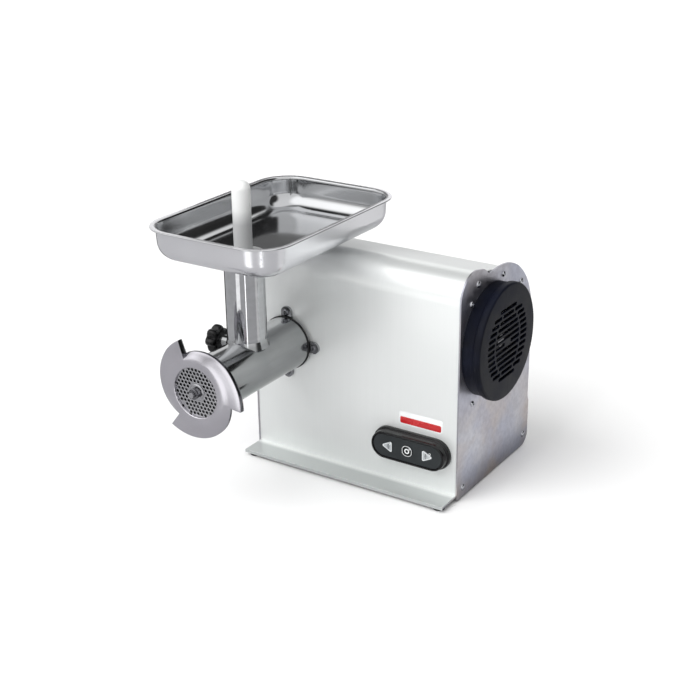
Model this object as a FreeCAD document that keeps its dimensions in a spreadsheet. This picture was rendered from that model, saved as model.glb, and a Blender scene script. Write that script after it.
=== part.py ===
"""Electric meat grinder: sheet steel casing, worm geared motor, mincing head, tray and pusher.

Every sub-part is drawn in the casing frame: x runs along the front panel from its left end,
y runs from the front panel to the rear, z is up from the surface that the grinder stands on.
The last step moves all of them to the row frame, whose origin is the middle of the footprint.
"""
import FreeCAD, Part
import math
import os

import Sketcher
from FreeCAD import Placement, Rotation, Vector

DIMENSIONS = {
    # overall frame
    "origin_x": 164.75,
    "origin_y": 2.5,
    # casing
    "casing_length": 355,
    "casing_depth": 223,
    "sheet_thickness": 2,
    "plate_thickness": 2.5,
    "flange_top": 10,
    "flange_reach": 41,
    "flange_lip_bottom": 5,
    "front_corner_height": 352,
    "rear_corner_height": 296,
    "front_bend_radius": 39,
    "rear_bend_radius": 100,
    "rear_return_width": 14,
    "foot_radius": 9,
    "foot_height": 6,
    # end plates
    "plate_bottom": 2,
    "near_ear_height": 338,
    "near_ear_end": 66,
    "dip_height": 328,
    "far_ear_height": 330.5,
    "far_ear_radius": 110,
    "far_ear_overhang": 2.5,
    "plate_rear_step": 6,
    "step_height": 78,
    "plate_corner_radius": 18,
    # motor and fan
    "motor_y": 87.5,
    "motor_z": 227,
    "motor_radius": 70,
    "motor_wall": 4,
    "motor_start": 168,
    "motor_end": 318,
    "stator_bore": 40,
    "rotor_radius": 39.5,
    "core_start": 188,
    "core_end": 284,
    "shaft_radius": 9,
    "running_clearance": 0.05,
    "bearing_radius": 20,
    "bearing_width": 12,
    "fan_radius": 70,
    "cap_radius": 87,
    "cap_base_radius": 84,
    "cap_depth": 29,
    "cap_wall": 3,
    "vent_radius": 74,
    "slot_height": 5,
    "slot_pitch": 8.6,
    "slot_gap": 3.2,
    "grille_radius": 61,
    # worm gearing
    "gear_module": 3,
    "wheel_teeth": 16,
    "worm_pitch_radius": 13,
    "worm_mesh_angle": 240,
    "worm_start": 40,
    "worm_end": 84,
    "wheel_width": 14,
    "output_radius": 15,
    "output_bearing_radius": 26,
    "socket_side": 14.4,
    # mincing head
    "head_x": 62,
    "head_z": 190,
    "barrel_radius": 40.7,
    "barrel_bore": 34.5,
    "barrel_start": 5.5,
    "collar_radius": 45,
    "collar_start": 198,
    "barrel_end": 218,
    "plate_seat": 209.8,
    "neck_distance": 100,
    "neck_radius": 29,
    "neck_bore": 26,
    "neck_top": 353.5,
    "ear_circle": 48,
    "ear_radius": 9,
    "ear_thickness": 4,
    "auger_radius": 34,
    "auger_core": 12,
    "auger_lead": 38,
    "stud_radius": 6,
    "stud_tip": 231,
    "mincing_plate_radius": 41,
    "mincing_plate_thickness": 8,
    "plate_hole_radius": 2.25,
    "plate_hole_pitch": 6.3,
    "nut_bore": 45.4,
    "nut_skirt_radius": 49.5,
    "nut_opening": 37,
    "lobe_start_radius": 56,
    "lobe_tip_radius": 77,
    "lobe_tip_angle": 111,
    "knob_y": -98,
    "knob_z": 216,
    "knob_radius": 21.5,
    "knob_width": 17,
    "knob_start": -4.5,
    # tray and pusher
    "tray_width": 233,
    "tray_length": 344,
    "tray_rim": 402,
    "tray_floor": 354,
    "tray_lip": 9,
    "tray_corner": 44,
    "tray_bottom_radius": 26,
    "tray_sheet": 1.2,
    "tray_rear": 148,
    "spigot_radius": 25.7,
    "spigot_bore": 24.5,
    "spigot_length": 16,
    "pusher_top": 463,
    "rod_radius": 13.2,
    "plug_radius": 24,
    "plug_top": 345,
    "plug_bottom": 265,
    "stop_radius": 29,
    "stop_bottom": 355.5,
    # switch pod
    "pod_x": 280,
    "pod_z": 70,
    "pod_length": 128,
    "pod_height": 48,
    "pod_depth": 18,
    "face_length": 114,
    "face_height": 35,
    "key_spacing": 34.5,
    "key_side": 18,
    "key_clearance": 0.35,
}

doc = FreeCAD.newDocument("meat_grinder")
sheet = doc.addObject("Spreadsheet::Sheet", "sizes")
for row, (alias, number) in enumerate(DIMENSIONS.items(), start=1):
    sheet.set(f"A{row}", alias.replace("_", " "))
    sheet.set(f"B{row}", str(number))
    sheet.setAlias(f"B{row}", alias)
doc.recompute()


class Size:
    """A length with its value and the sheet expression that it follows."""

    def __init__(self, value, text):
        self.value = value
        self.text = text

    def combine(self, other, symbol, value):
        return Size(value, f"({self.text} {symbol} {as_size(other).text})")

    def __add__(self, other):
        return self.combine(other, "+", self.value + as_size(other).value)

    def __sub__(self, other):
        return self.combine(other, "-", self.value - as_size(other).value)

    def __mul__(self, other):
        return self.combine(other, "*", self.value * as_size(other).value)

    def __truediv__(self, other):
        return self.combine(other, "/", self.value / as_size(other).value)

    def __radd__(self, other):
        return as_size(other) + self

    def __rsub__(self, other):
        return as_size(other) - self

    def __rmul__(self, other):
        return as_size(other) * self

    def __neg__(self):
        return as_size(0) - self


def as_size(number):
    if isinstance(number, Size):
        return number
    return Size(float(number), f"{float(number):g}")


class Sheet:
    """The sheet's cells as attributes, each one a Size."""

    def __getattr__(self, alias):
        return Size(float(sheet.get(alias)), f"sizes.{alias}")


S = Sheet()

# Orientations: a piece drawn along its own z axis, turned to point forward, right or up.
FORWARD = Rotation(Vector(1, 0, 0), 90)
RIGHTWARD = Rotation(Vector(0, 1, 0), 90)
UPWARD = Rotation()
SIDE_ON = Rotation(Vector(1, 1, 1), 120)

subparts = []


def keep(item, label):
    """Register a finished sub-part under the name of its node."""
    item.Label = label
    subparts.append(item)
    return item


def bind(item, prop, length):
    item.setExpression(prop, as_size(length).text)


def put(item, x, y, z, rotation=UPWARD):
    """Place an object in the casing frame with a position that follows the sheet."""
    item.Placement = Placement(Vector(0, 0, 0), rotation)
    for axis, length in zip("xyz", (x, y, z)):
        bind(item, f"Placement.Base.{axis}", length)
    return item


def cylinder(radius, length, x, y, z, rotation=UPWARD):
    item = doc.addObject("Part::Cylinder", "Cylinder")
    bind(item, "Radius", radius)
    bind(item, "Height", length)
    return put(item, x, y, z, rotation)


def box(length, width, height, x, y, z, rotation=UPWARD):
    item = doc.addObject("Part::Box", "Box")
    bind(item, "Length", length)
    bind(item, "Width", width)
    bind(item, "Height", height)
    return put(item, x, y, z, rotation)


def cone(radius_from, radius_to, length, x, y, z, rotation=UPWARD):
    item = doc.addObject("Part::Cone", "Cone")
    bind(item, "Radius1", radius_from)
    bind(item, "Radius2", radius_to)
    bind(item, "Height", length)
    return put(item, x, y, z, rotation)


def fuse(*items):
    joined = doc.addObject("Part::MultiFuse", "Fusion")
    joined.Shapes = list(items)
    return joined


def cut(base, *tools):
    tool = tools[0] if len(tools) == 1 else fuse(*tools)
    result = doc.addObject("Part::Cut", "Cut")
    result.Base = base
    result.Tool = tool
    return result


def group(*items):
    """Several separate solids in one node."""
    several = doc.addObject("Part::Compound", "Group")
    several.Links = list(items)
    return several


def ring(outer, inner, length, x, y, z, rotation=UPWARD):
    return cut(cylinder(outer, length, x, y, z, rotation), cylinder(inner, length, x, y, z, rotation))


def coded(shape, name="Coded"):
    """A feature whose shape is set in code."""
    item = doc.addObject("Part::Feature", name)
    item.Shape = shape
    return item


# ---------------------------------------------------------------- PartDesign helpers

def new_body(name):
    return doc.addObject("PartDesign::Body", name)


def new_sketch(body, role="XY_Plane"):
    sketch = body.newObject("Sketcher::SketchObject", "Sketch")
    plane = next(item for item in body.Origin.OriginFeatures if item.Role == role)
    sketch.AttachmentSupport = [(plane, "")]
    sketch.MapMode = "FlatFace"
    return sketch


def pin_point(sketch, geometry, point, u, v):
    """Tie a point of the sketch to sheet coordinates."""
    for kind, length in (("DistanceX", as_size(u)), ("DistanceY", as_size(v))):
        number = sketch.addConstraint(
            Sketcher.Constraint(kind, -1, 1, geometry, point, length.value))
        sketch.setExpression(f"Constraints[{number}]", length.text)


def draw_polygon(sketch, corners):
    points = [Vector(as_size(u).value, as_size(v).value, 0) for u, v in corners]
    lines = [sketch.addGeometry(Part.LineSegment(start, end), False)
             for start, end in zip(points, points[1:] + points[:1])]
    for line, following in zip(lines, lines[1:] + lines[:1]):
        sketch.addConstraint(Sketcher.Constraint("Coincident", line, 2, following, 1))
    for line, (u, v) in zip(lines, corners):
        pin_point(sketch, line, 1, u, v)


def draw_circle(sketch, u, v, radius):
    radius = as_size(radius)
    centre = Vector(as_size(u).value, as_size(v).value, 0)
    circle = sketch.addGeometry(Part.Circle(centre, Vector(0, 0, 1), radius.value), False)
    pin_point(sketch, circle, 3, u, v)
    number = sketch.addConstraint(Sketcher.Constraint("Radius", circle, radius.value))
    sketch.setExpression(f"Constraints[{number}]", radius.text)


def pad(body, sketch, length):
    feature = body.newObject("PartDesign::Pad", "Pad")
    feature.Profile = sketch
    bind(feature, "Length", length)
    doc.recompute()
    return feature


def round_edges(body, base, radius, wanted):
    """Fillet the edges of base that the wanted test picks."""
    names = [f"Edge{number}" for number, edge in enumerate(base.Shape.Edges, start=1) if wanted(edge)]
    feature = body.newObject("PartDesign::Fillet", "Fillet")
    feature.Base = (base, names)
    bind(feature, "Radius", radius)
    doc.recompute()
    return feature


def along_z_at(u, v):
    """An edge test: parallel to z, at one corner of the profile."""
    corner = (as_size(u).value, as_size(v).value)

    def test(edge):
        start, end = edge.Vertexes[0].Point, edge.Vertexes[-1].Point
        upright = abs(start.x - end.x) < 1e-4 and abs(start.y - end.y) < 1e-4
        return upright and math.dist((start.x, start.y), corner) < 1e-3

    return test


def level_edge(height):
    """An edge test: every edge lying flat at one height."""
    level = as_size(height).value
    return lambda edge: all(abs(vertex.Point.z - level) < 1e-4 for vertex in edge.Vertexes)


def prism(name, corners, length, holes=()):
    """A padded polygon; each corner is (u, v) or (u, v, rounding radius)."""
    body = new_body(name)
    sketch = new_sketch(body)
    draw_polygon(sketch, [corner[:2] for corner in corners])
    for u, v, radius in holes:
        draw_circle(sketch, u, v, radius)
    feature = pad(body, sketch, length)
    for corner in corners:
        if len(corner) == 3:
            feature = round_edges(body, feature, corner[2], along_z_at(*corner[:2]))
    return body


def turned(name, profile):
    """A body of revolution about its own z axis, from (radius, height) corners."""
    body = new_body(name)
    sketch = new_sketch(body, "XZ_Plane")
    draw_polygon(sketch, profile)
    feature = body.newObject("PartDesign::Revolution", "Revolution")
    feature.Profile = sketch
    feature.ReferenceAxis = (sketch, ["V_Axis"])
    feature.Angle = 360
    doc.recompute()
    return body


def slot_prism(name, length, height, depth):
    """A stadium-ended bar centred on the origin of its own frame."""
    half_length = as_size(length) / 2
    half_height = as_size(height) / 2
    end_radius = half_height - 0.01
    corners = [(-half_length, -half_height, end_radius), (half_length, -half_height, end_radius),
               (half_length, half_height, end_radius), (-half_length, half_height, end_radius)]
    return prism(name, corners, depth)


# ---------------------------------------------------------------- helical shapes

def flight(core_radius, tip_radius, root_width, tip_width, lead, length):
    """A screw flight about z from height 0, with a little of its root inside the core."""
    inside = 0.6
    start = core_radius - inside
    profile = Part.makePolygon([
        Vector(start, 0, -root_width / 2), Vector(tip_radius, 0, -tip_width / 2),
        Vector(tip_radius, 0, tip_width / 2), Vector(start, 0, root_width / 2),
        Vector(start, 0, -root_width / 2)])
    path = Part.Wire(Part.makeHelix(lead, length, core_radius).Edges)
    thread = path.makePipeShell([profile], True, True)
    return thread


# ---------------------------------------------------------------- casing

def casing_shell():
    """One bent sheet: front flange, front panel, sloping top and rear wall, open at both ends."""
    body = new_body("ShellBody")
    sketch = new_sketch(body)
    bottom = S.flange_top - S.sheet_thickness
    corners = [(0, bottom), (0, S.front_corner_height),
               (S.casing_depth, S.rear_corner_height), (S.casing_depth, bottom)]
    draw_polygon(sketch, corners)
    span = S.casing_length - 2 * S.plate_thickness
    feature = pad(body, sketch, span)
    feature = round_edges(body, feature, S.front_bend_radius, along_z_at(0, S.front_corner_height))
    feature = round_edges(body, feature, S.rear_bend_radius,
                          along_z_at(S.casing_depth, S.rear_corner_height))
    opened = [f"Face{number}" for number, face in enumerate(feature.Shape.Faces, start=1)
              if is_open_side(face, bottom.value)]
    skin = body.newObject("PartDesign::Thickness", "Thickness")
    skin.Base = (feature, opened)
    skin.Mode = 0
    skin.Reversed = True
    bind(skin, "Value", S.sheet_thickness)
    doc.recompute()
    put(body, S.plate_thickness, 0, 0, SIDE_ON)

    flange = box(span, S.flange_reach, S.sheet_thickness, S.plate_thickness, -S.flange_reach, bottom)
    lip = box(span, S.sheet_thickness, bottom - S.flange_lip_bottom,
              S.plate_thickness, -S.flange_reach, S.flange_lip_bottom)
    rear_return = box(span, S.rear_return_width, S.sheet_thickness, S.plate_thickness,
                      S.casing_depth - S.sheet_thickness - S.rear_return_width, bottom)
    sheet_metal = fuse(body, flange, lip, rear_return)
    hub_hole = cylinder(31, 10, S.head_x, 5, S.head_z, FORWARD)
    screw_holes = [cylinder(3.2, 10, S.head_x + x, 5, S.head_z + z, FORWARD)
                   for x, z in around(S.ear_circle, 4, 0)]
    switch_hole = box(100, 10, 30, S.pod_x - 50, -5, S.pod_z - 15)
    gland_hole = cylinder(8.3, 10, 60, S.casing_depth + 5, 42, FORWARD)
    keep(cut(sheet_metal, hub_hole, switch_hole, gland_hole, *screw_holes), "casing_shell")


def is_open_side(face, bottom):
    """The two ends of the padded casing block, and its underside."""
    normal = face.normalAt(0.5, 0.5)
    at_end = abs(normal.z) > 0.99
    underneath = abs(normal.y) > 0.99 and abs(face.CenterOfMass.y - bottom) < 0.01
    return at_end or underneath


def around(radius, count, first_angle):
    """Points of a bolt circle as sheet-bound offsets."""
    angles = [math.radians(first_angle + 360 / count * number) for number in range(count)]
    return [(radius * round(math.cos(angle), 6), radius * round(math.sin(angle), 6)) for angle in angles]


TIE_POINTS = ((48, 321), (185, 284), (16, 17.5), (213, 21))
COVER_SCREW_POINTS = ((29.5, 297), (125.5, 313), (39, 142), (150, 156))


def end_plate(label, x, holes):
    """A flat end plate with a front ear, a large rear ear and a small step in its rear edge."""
    outer_rear = S.casing_depth + S.plate_rear_step
    corners = [
        (-1, S.plate_bottom, 2),
        (-1, S.front_corner_height + 1, S.front_bend_radius),
        (S.near_ear_end, S.near_ear_height, 14),
        (S.near_ear_end + 13, S.dip_height, 6),
        (S.casing_depth + S.far_ear_overhang, S.far_ear_height, S.far_ear_radius),
        (S.casing_depth + S.far_ear_overhang, S.step_height + 4),
        (outer_rear, S.step_height - 4),
        (outer_rear, S.plate_bottom, S.plate_corner_radius),
    ]
    rod_holes = [(y, z, 3.3) for y, z in TIE_POINTS]
    body = prism("EndPlate", corners, S.plate_thickness, rod_holes + holes)
    keep(put(body, x, 0, 0, SIDE_ON), label)


def end_plates():
    end_plate("left_end_plate", 0, [])
    vent = [(S.motor_y, S.motor_z, S.vent_radius)]
    cover_holes = [(y, z, 3.2) for y, z in COVER_SCREW_POINTS]
    end_plate("right_end_plate", S.casing_length - S.plate_thickness, vent + cover_holes)


def tie_bars():
    """Round spacer bars that hold the two end plates apart and the casing between them."""
    span = S.casing_length - 2 * S.plate_thickness
    bars = [cylinder(6, span, S.plate_thickness, y, z, RIGHTWARD) for y, z in TIE_POINTS]
    bores = []
    for y, z in TIE_POINTS:
        bores.append(cylinder(3, 12, S.plate_thickness, y, z, RIGHTWARD))
        bores.append(cylinder(3, 12, S.casing_length - S.plate_thickness - 12, y, z, RIGHTWARD))
    keep(cut(group(*bars), *bores), "tie_bars")


def domed_screw(x, y, z, length, rotation):
    """A button-head screw with a hexagon socket, pointing back along its own z axis."""
    body = turned("Screw", [(0, -length), (3, -length), (3, 0), (5.2, 0), (5.2, 1.4), (3.8, 2.8), (0, 2.8)])
    socket = prism("Socket", [(1.9 * math.cos(math.radians(60 * k)), 1.9 * math.sin(math.radians(60 * k)))
                              for k in range(6)], 3)
    put(socket, 0, 0, 1.4)
    screw = cut(body, socket)
    return put(screw, x, y, z, rotation)


def end_plate_screws():
    """Eight button-head screws, one in each end of each tie bar."""
    leftward = Rotation(Vector(0, 1, 0), -90)
    screws = [domed_screw(0, y, z, 12, leftward) for y, z in TIE_POINTS]
    screws += [domed_screw(S.casing_length, y, z, 12, RIGHTWARD) for y, z in TIE_POINTS]
    keep(group(*screws), "end_plate_screws")


def base_and_feet():
    """The base plate with its air slots, four rubber feet and the screws that hold them."""
    plate_level = S.flange_top - 2 * S.sheet_thickness
    length = S.casing_length - 2 * S.plate_thickness
    front = -(S.flange_reach - S.sheet_thickness)
    floor = box(length, S.casing_depth - S.sheet_thickness - front, S.sheet_thickness,
                S.plate_thickness, front, plate_level)
    air_slots = [box(60, 6, 6, 190, 62 + 14 * number, plate_level - 2) for number in range(7)]
    foot_points = [(14, -29), (S.casing_length - 14, -29), (14, 205), (S.casing_length - 14, 205)]
    screw_holes = [cylinder(2.6, 6, x, y, plate_level - 2) for x, y in foot_points]
    keep(cut(floor, *air_slots, *screw_holes), "base_plate")

    feet, screws = [], []
    for x, y in foot_points:
        foot = turned("Foot", [(0, 0), (S.foot_radius - 1, 0), (S.foot_radius, 1),
                               (S.foot_radius - 0.6, S.foot_height), (0, S.foot_height)])
        put(foot, x, y, 0)
        recess = cylinder(5.5, 3, x, y, 0)
        bore = cylinder(2.6, S.foot_height, x, y, 0)
        feet.append(cut(foot, recess, bore))
        head = cylinder(5, 2, x, y, 1)
        shank = cylinder(2.5, S.foot_height + S.sheet_thickness - 1, x, y, 1)
        screws.append(fuse(head, shank))
    keep(group(*feet), "rubber_feet")
    keep(group(*screws), "foot_screws")


# ---------------------------------------------------------------- motor

def on_motor_axis(x):
    return x, S.motor_y, S.motor_z, RIGHTWARD


def motor():
    """Ventilated motor: ribbed frame, two end shields, stator core and windings."""
    length = S.motor_end - S.motor_start
    tube = ring(S.motor_radius, S.motor_radius - S.motor_wall, length, *on_motor_axis(S.motor_start))
    ribs = []
    for number in range(20):
        if 12 <= number <= 18:
            continue
        rib = box(length, 4, 3, S.motor_start, S.motor_y, S.motor_z)
        angle = 18 * number
        offset = Rotation(Vector(1, 0, 0), angle).multVec(Vector(0, -1.5, S.motor_radius.value - 0.5))
        rib.Placement = Placement(Vector(0, 0, 0), Rotation(Vector(1, 0, 0), angle))
        bind(rib, "Placement.Base.x", S.motor_start)
        bind(rib, "Placement.Base.y", S.motor_y + offset.y)
        bind(rib, "Placement.Base.z", S.motor_z + offset.z)
        ribs.append(rib)
    keep(fuse(tube, *ribs), "motor_frame")

    hub_radius = S.bearing_radius + 5
    for label, wall_x, hub_x, bearing_x in (
            ("motor_front_shield", S.motor_start - 6, S.motor_start - 6, S.motor_start - 4),
            ("motor_rear_shield", S.motor_end, S.motor_end - 10, S.motor_end - 10)):
        wall = cylinder(S.motor_radius, 6, *on_motor_axis(wall_x))
        hub = cylinder(hub_radius, 16, *on_motor_axis(hub_x))
        seat = cylinder(S.bearing_radius, S.bearing_width, *on_motor_axis(bearing_x))
        bore = cylinder(S.shaft_radius + 1, 40, *on_motor_axis(wall_x - 15))
        keep(cut(fuse(wall, hub), seat, bore), label)

    core_length = S.core_end - S.core_start
    bore_radius = S.motor_radius - S.motor_wall
    keep(ring(bore_radius, S.stator_bore, core_length, *on_motor_axis(S.core_start)), "stator_core")
    windings = [ring(bore_radius - 4, S.stator_bore + 3, 15, *on_motor_axis(x))
                for x in (S.core_start - 15, S.core_end)]
    keep(group(*windings), "stator_windings")

    keep(ring(S.rotor_radius, S.shaft_radius, core_length, *on_motor_axis(S.core_start)), "rotor_core")
    shaft_start = S.motor_start - 20
    shaft_end = S.casing_length + 18
    keep(cylinder(S.shaft_radius, shaft_end - shaft_start, *on_motor_axis(shaft_start)), "motor_shaft")

    clearance_radius = S.shaft_radius + S.running_clearance
    bearings = [ring(S.bearing_radius, clearance_radius, S.bearing_width, *on_motor_axis(x))
                for x in (S.motor_start - 4, S.motor_end - 10)]
    keep(group(*bearings), "motor_bearings")

    saddle_height = S.motor_z - 40 - S.flange_top
    saddle = box(56, 96, saddle_height, 208, S.motor_y - 48, S.flange_top - S.sheet_thickness)
    hollow = cylinder(S.motor_radius + 3, 80, *on_motor_axis(196))
    window = box(80, 60, 90, 196, S.motor_y - 30, 30)
    keep(cut(saddle, hollow, window), "motor_saddle")


def fan():
    """A seven-blade fan on the motor shaft, just inside the fan cover."""
    start = S.casing_length + 3
    hub = ring(15, S.shaft_radius, 14, *on_motor_axis(start))
    blades = []
    for number in range(7):
        angle = 360 / 7 * number
        turn = Rotation(Vector(1, 0, 0), angle) * Rotation(Vector(0, 0, 1), 32)
        blade = box(2, 16, S.fan_radius - 14, 0, 0, 0)
        offset = Rotation(Vector(1, 0, 0), angle).multVec(Vector(8, -6, 13.5))
        blade.Placement = Placement(Vector(0, 0, 0), turn)
        bind(blade, "Placement.Base.x", start + offset.x)
        bind(blade, "Placement.Base.y", S.motor_y + offset.y)
        bind(blade, "Placement.Base.z", S.motor_z + offset.z)
        blades.append(blade)
    keep(fuse(hub, *blades), "cooling_fan")


def slot_spans():
    """The grille's rows as (height, start, end): two curved gaps divide each row in three."""
    arc_radius, arc_shift, rows = 56.2, 19.2, 6
    pitch, gap, rim = S.slot_pitch.value, S.slot_gap.value, S.grille_radius.value
    spans = []
    for row in range(-rows, rows + 1):
        height = row * pitch
        if abs(row) == rows:
            spans.append((height, -25, 25))
            continue
        middle = math.sqrt(arc_radius ** 2 - height ** 2) - arc_shift
        edge = math.sqrt(rim ** 2 - height ** 2)
        if row == 0:
            spans += [(height, -middle, -9), (height, 9, middle)]
        else:
            spans.append((height, -middle, middle))
        spans += [(height, -edge, -middle - gap), (height, middle + gap, edge)]
    return spans


def fan_cover():
    """A stepped round cover with thirteen rows of round-ended slots."""
    outer, base, wall, depth = S.cap_radius, S.cap_base_radius, S.cap_wall, S.cap_depth
    profile = [(base - wall, 0), (base, 0), (base, depth - 12), (outer, depth - 10), (outer, depth - 3),
               (outer - 3, depth), (0, depth), (0, depth - wall), (base - wall, depth - wall)]
    body = turned("Cover", profile)
    put(body, S.casing_length, S.motor_y, S.motor_z, RIGHTWARD)
    half = S.slot_height.value / 2
    slots = []
    for height, start, end in slot_spans():
        left, right = start + half, end - half
        bar = Part.makeBox(20, right - left, 2 * half, Vector(-10, left, height - half))
        for y in (left, right):
            end_round = Part.makeCylinder(half, 20, Vector(-10, y, height), Vector(1, 0, 0))
            bar = bar.fuse(end_round)
        slots.append(bar)
    slots.append(Part.makeCylinder(2.5, 20, Vector(-10, 0, 0), Vector(1, 0, 0)))
    grille = coded(Part.makeCompound(slots), "GrilleSlots")
    put(grille, S.casing_length + depth, S.motor_y, S.motor_z)
    keep(cut(body, grille), "fan_cover")

    screws = [domed_screw(S.casing_length, y, z, 8, RIGHTWARD) for y, z in COVER_SCREW_POINTS]
    keep(group(*screws), "fan_cover_screws")


# ---------------------------------------------------------------- worm gearing

def worm_gear_set():
    """A single-start worm over a sixteen-tooth wheel that carries the output shaft."""
    module = S.gear_module.value
    pitch = math.pi * module
    clearance = 0.4
    worm_root = S.worm_pitch_radius.value - 1.25 * module
    worm_tip = S.worm_pitch_radius.value + module - clearance
    thread_length = (S.worm_end - S.worm_start).value
    half_thread = thread_length / 2
    thread = flight(worm_root, worm_tip, 0.60 * pitch, 0.24 * pitch, pitch, thread_length - pitch)
    thread.translate(Vector(0, 0, -(thread_length - pitch) / 2))
    thread.rotate(Vector(0, 0, 0), Vector(0, 0, 1), S.worm_mesh_angle.value)
    core = Part.makeCylinder(worm_root, thread_length, Vector(0, 0, -half_thread))
    rear = Part.makeCylinder(8, 14, Vector(0, 0, -half_thread - 14))
    front = Part.makeCylinder(9, 64, Vector(0, 0, half_thread))
    worm = coded(core.fuse([thread, rear, front]), "WormShaft")
    worm.Placement = Placement(Vector(0, 0, 0), RIGHTWARD)
    bind(worm, "Placement.Base.x", (S.worm_start + S.worm_end) / 2)
    bind(worm, "Placement.Base.y", S.motor_y)
    bind(worm, "Placement.Base.z", S.motor_z)
    keep(worm, "worm_shaft")

    teeth = int(S.wheel_teeth.value)
    pitch_radius = module * teeth / 2
    tip_radius = pitch_radius + module - clearance
    root_radius = pitch_radius - 1.25 * module
    lead_slope = module / (2 * S.worm_pitch_radius.value)
    width = S.wheel_width.value
    blank = Part.makeCylinder(root_radius, width, Vector(0, 0, -width / 2))
    tooth_root, tooth_tip = 0.56 * pitch, 0.20 * pitch
    rise = tip_radius - root_radius + 1
    section = Part.Face(Part.makePolygon([
        Vector(-tooth_root / 2, root_radius - 1, -width / 2),
        Vector(tooth_root / 2, root_radius - 1, -width / 2),
        Vector(tooth_tip / 2, root_radius - 1 + rise, -width / 2),
        Vector(-tooth_tip / 2, root_radius - 1 + rise, -width / 2),
        Vector(-tooth_root / 2, root_radius - 1, -width / 2)]))
    skew = lead_slope * width
    section.translate(Vector(skew / 2, 0, 0))
    tooth = section.extrude(Vector(-skew, 0, width))
    crown = []
    for number in range(teeth):
        copy = tooth.copy()
        copy.rotate(Vector(0, 0, 0), Vector(0, 0, 1), 360 / teeth * number)
        crown.append(copy)
    wheel_solid = blank.fuse(crown).removeSplitter()
    wheel_solid = wheel_solid.cut(Part.makeCylinder(S.output_radius.value, width, Vector(0, 0, -width / 2)))
    wheel = coded(wheel_solid, "WormWheel")
    wheel.Placement = Placement(Vector(0, 0, 0), FORWARD)
    bind(wheel, "Placement.Base.x", S.head_x)
    bind(wheel, "Placement.Base.y", S.motor_y)
    bind(wheel, "Placement.Base.z", S.head_z)
    keep(wheel, "worm_wheel")


def gearbox():
    """Cast housing with the output nose, its rear cover, the bearings, seal and output shaft."""
    block = box(84, 60, 112, 20, 56, 150)
    nose = cylinder(33, 54, S.head_x, 56.3, S.head_z, FORWARD)
    front_flange = cylinder(58, 8, S.head_x, 10.3, S.head_z, FORWARD)
    cavity = box(70, 55, 98, 27, 61.5, 157)
    nose_bore = cylinder(S.output_bearing_radius, 70, S.head_x, 62.3, S.head_z, FORWARD)
    worm_bore = cylinder(17, 20, *on_motor_axis(95))
    rear_seat = cylinder(16, 12, *on_motor_axis(22))
    ear_holes = [cylinder(3, 12, S.head_x + x, 12, S.head_z + z, FORWARD)
                 for x, z in around(S.ear_circle, 4, 0)]
    keep(cut(fuse(block, nose, front_flange), cavity, nose_bore, worm_bore, rear_seat, *ear_holes),
         "gearbox_housing")

    cover = box(84, 6, 112, 20, 116.5, 150)
    screws = []
    for x in (25, 97):
        for z in (154, 258):
            screws.append(domed_screw(x, 122.5, z, 6, Rotation(Vector(1, 0, 0), -90)))
    screw_holes = [cylinder(3, 6, x, 122.5, z, FORWARD) for x in (25, 97) for z in (154, 258)]
    keep(cut(cover, *screw_holes), "gearbox_cover")
    keep(group(*screws), "gearbox_cover_screws")

    shaft_front, shaft_rear = 4, 97
    shaft = cylinder(S.output_radius, shaft_rear - shaft_front, S.head_x, shaft_rear, S.head_z, FORWARD)
    socket = box(S.socket_side, 24, S.socket_side,
                 S.head_x - S.socket_side / 2, shaft_front - 1, S.head_z - S.socket_side / 2)
    keep(cut(shaft, socket), "output_shaft")

    bore = S.output_radius + S.running_clearance
    outer = S.output_bearing_radius
    output_bearings = [ring(outer, bore, 13, S.head_x, y, S.head_z, FORWARD) for y in (27, 54)]
    worm_bearings = [ring(16, 8 + S.running_clearance, 10, *on_motor_axis(24)),
                     ring(17, 9 + S.running_clearance, 10, *on_motor_axis(97))]
    keep(group(*output_bearings), "output_bearings")
    keep(group(*worm_bearings), "worm_bearings")
    keep(ring(outer, bore, 8, S.head_x, 12, S.head_z, FORWARD), "output_oil_seal")

    bell = ring(46, 41, S.motor_start - 6 - 104, *on_motor_axis(104))
    keep(bell, "motor_adapter")
    keep(ring(15, S.shaft_radius, 28, *on_motor_axis(132)), "shaft_coupling")


def electrics():
    """Start capacitor, control board behind the switch pod, and the inlet gland at the rear."""
    can = cylinder(20, 92, 230, 185, 28, RIGHTWARD)
    stub = cylinder(4, 10, 322, 185, 28, RIGHTWARD)
    keep(fuse(can, stub), "start_capacitor")

    board = box(96, 1.6, 40, S.pod_x - 48, 11, S.pod_z - 20)
    relays = [box(16, 14, 18, S.pod_x - 40 + 26 * number, 12.6, S.pod_z - 9) for number in range(3)]
    keep(fuse(board, *relays), "control_board")

    body = fuse(cylinder(8, 14, 60, S.casing_depth + 6, 42, FORWARD),
                turned_gland(60, S.casing_depth, 42))
    nut = prism("GlandNut", [(11 * math.cos(math.radians(60 * k)), 11 * math.sin(math.radians(60 * k)))
                             for k in range(6)], 4)
    put(nut, 60, S.casing_depth - 2, 42, FORWARD)
    whole = fuse(body, nut)
    keep(cut(whole, cylinder(4, 60, 60, S.casing_depth + 30, 42, FORWARD)), "cable_gland")


def turned_gland(x, y, z):
    gland = turned("Gland", [(0, 0), (11, 0), (11, 5), (9.5, 6), (9.5, 10), (7, 13), (0, 13)])
    return put(gland, x, y, z, Rotation(Vector(1, 0, 0), -90))


# ---------------------------------------------------------------- mincing head

def ahead(distance):
    """Position on the auger's axis, a distance in front of the panel."""
    return S.head_x, -as_size(distance), S.head_z, FORWARD


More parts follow.
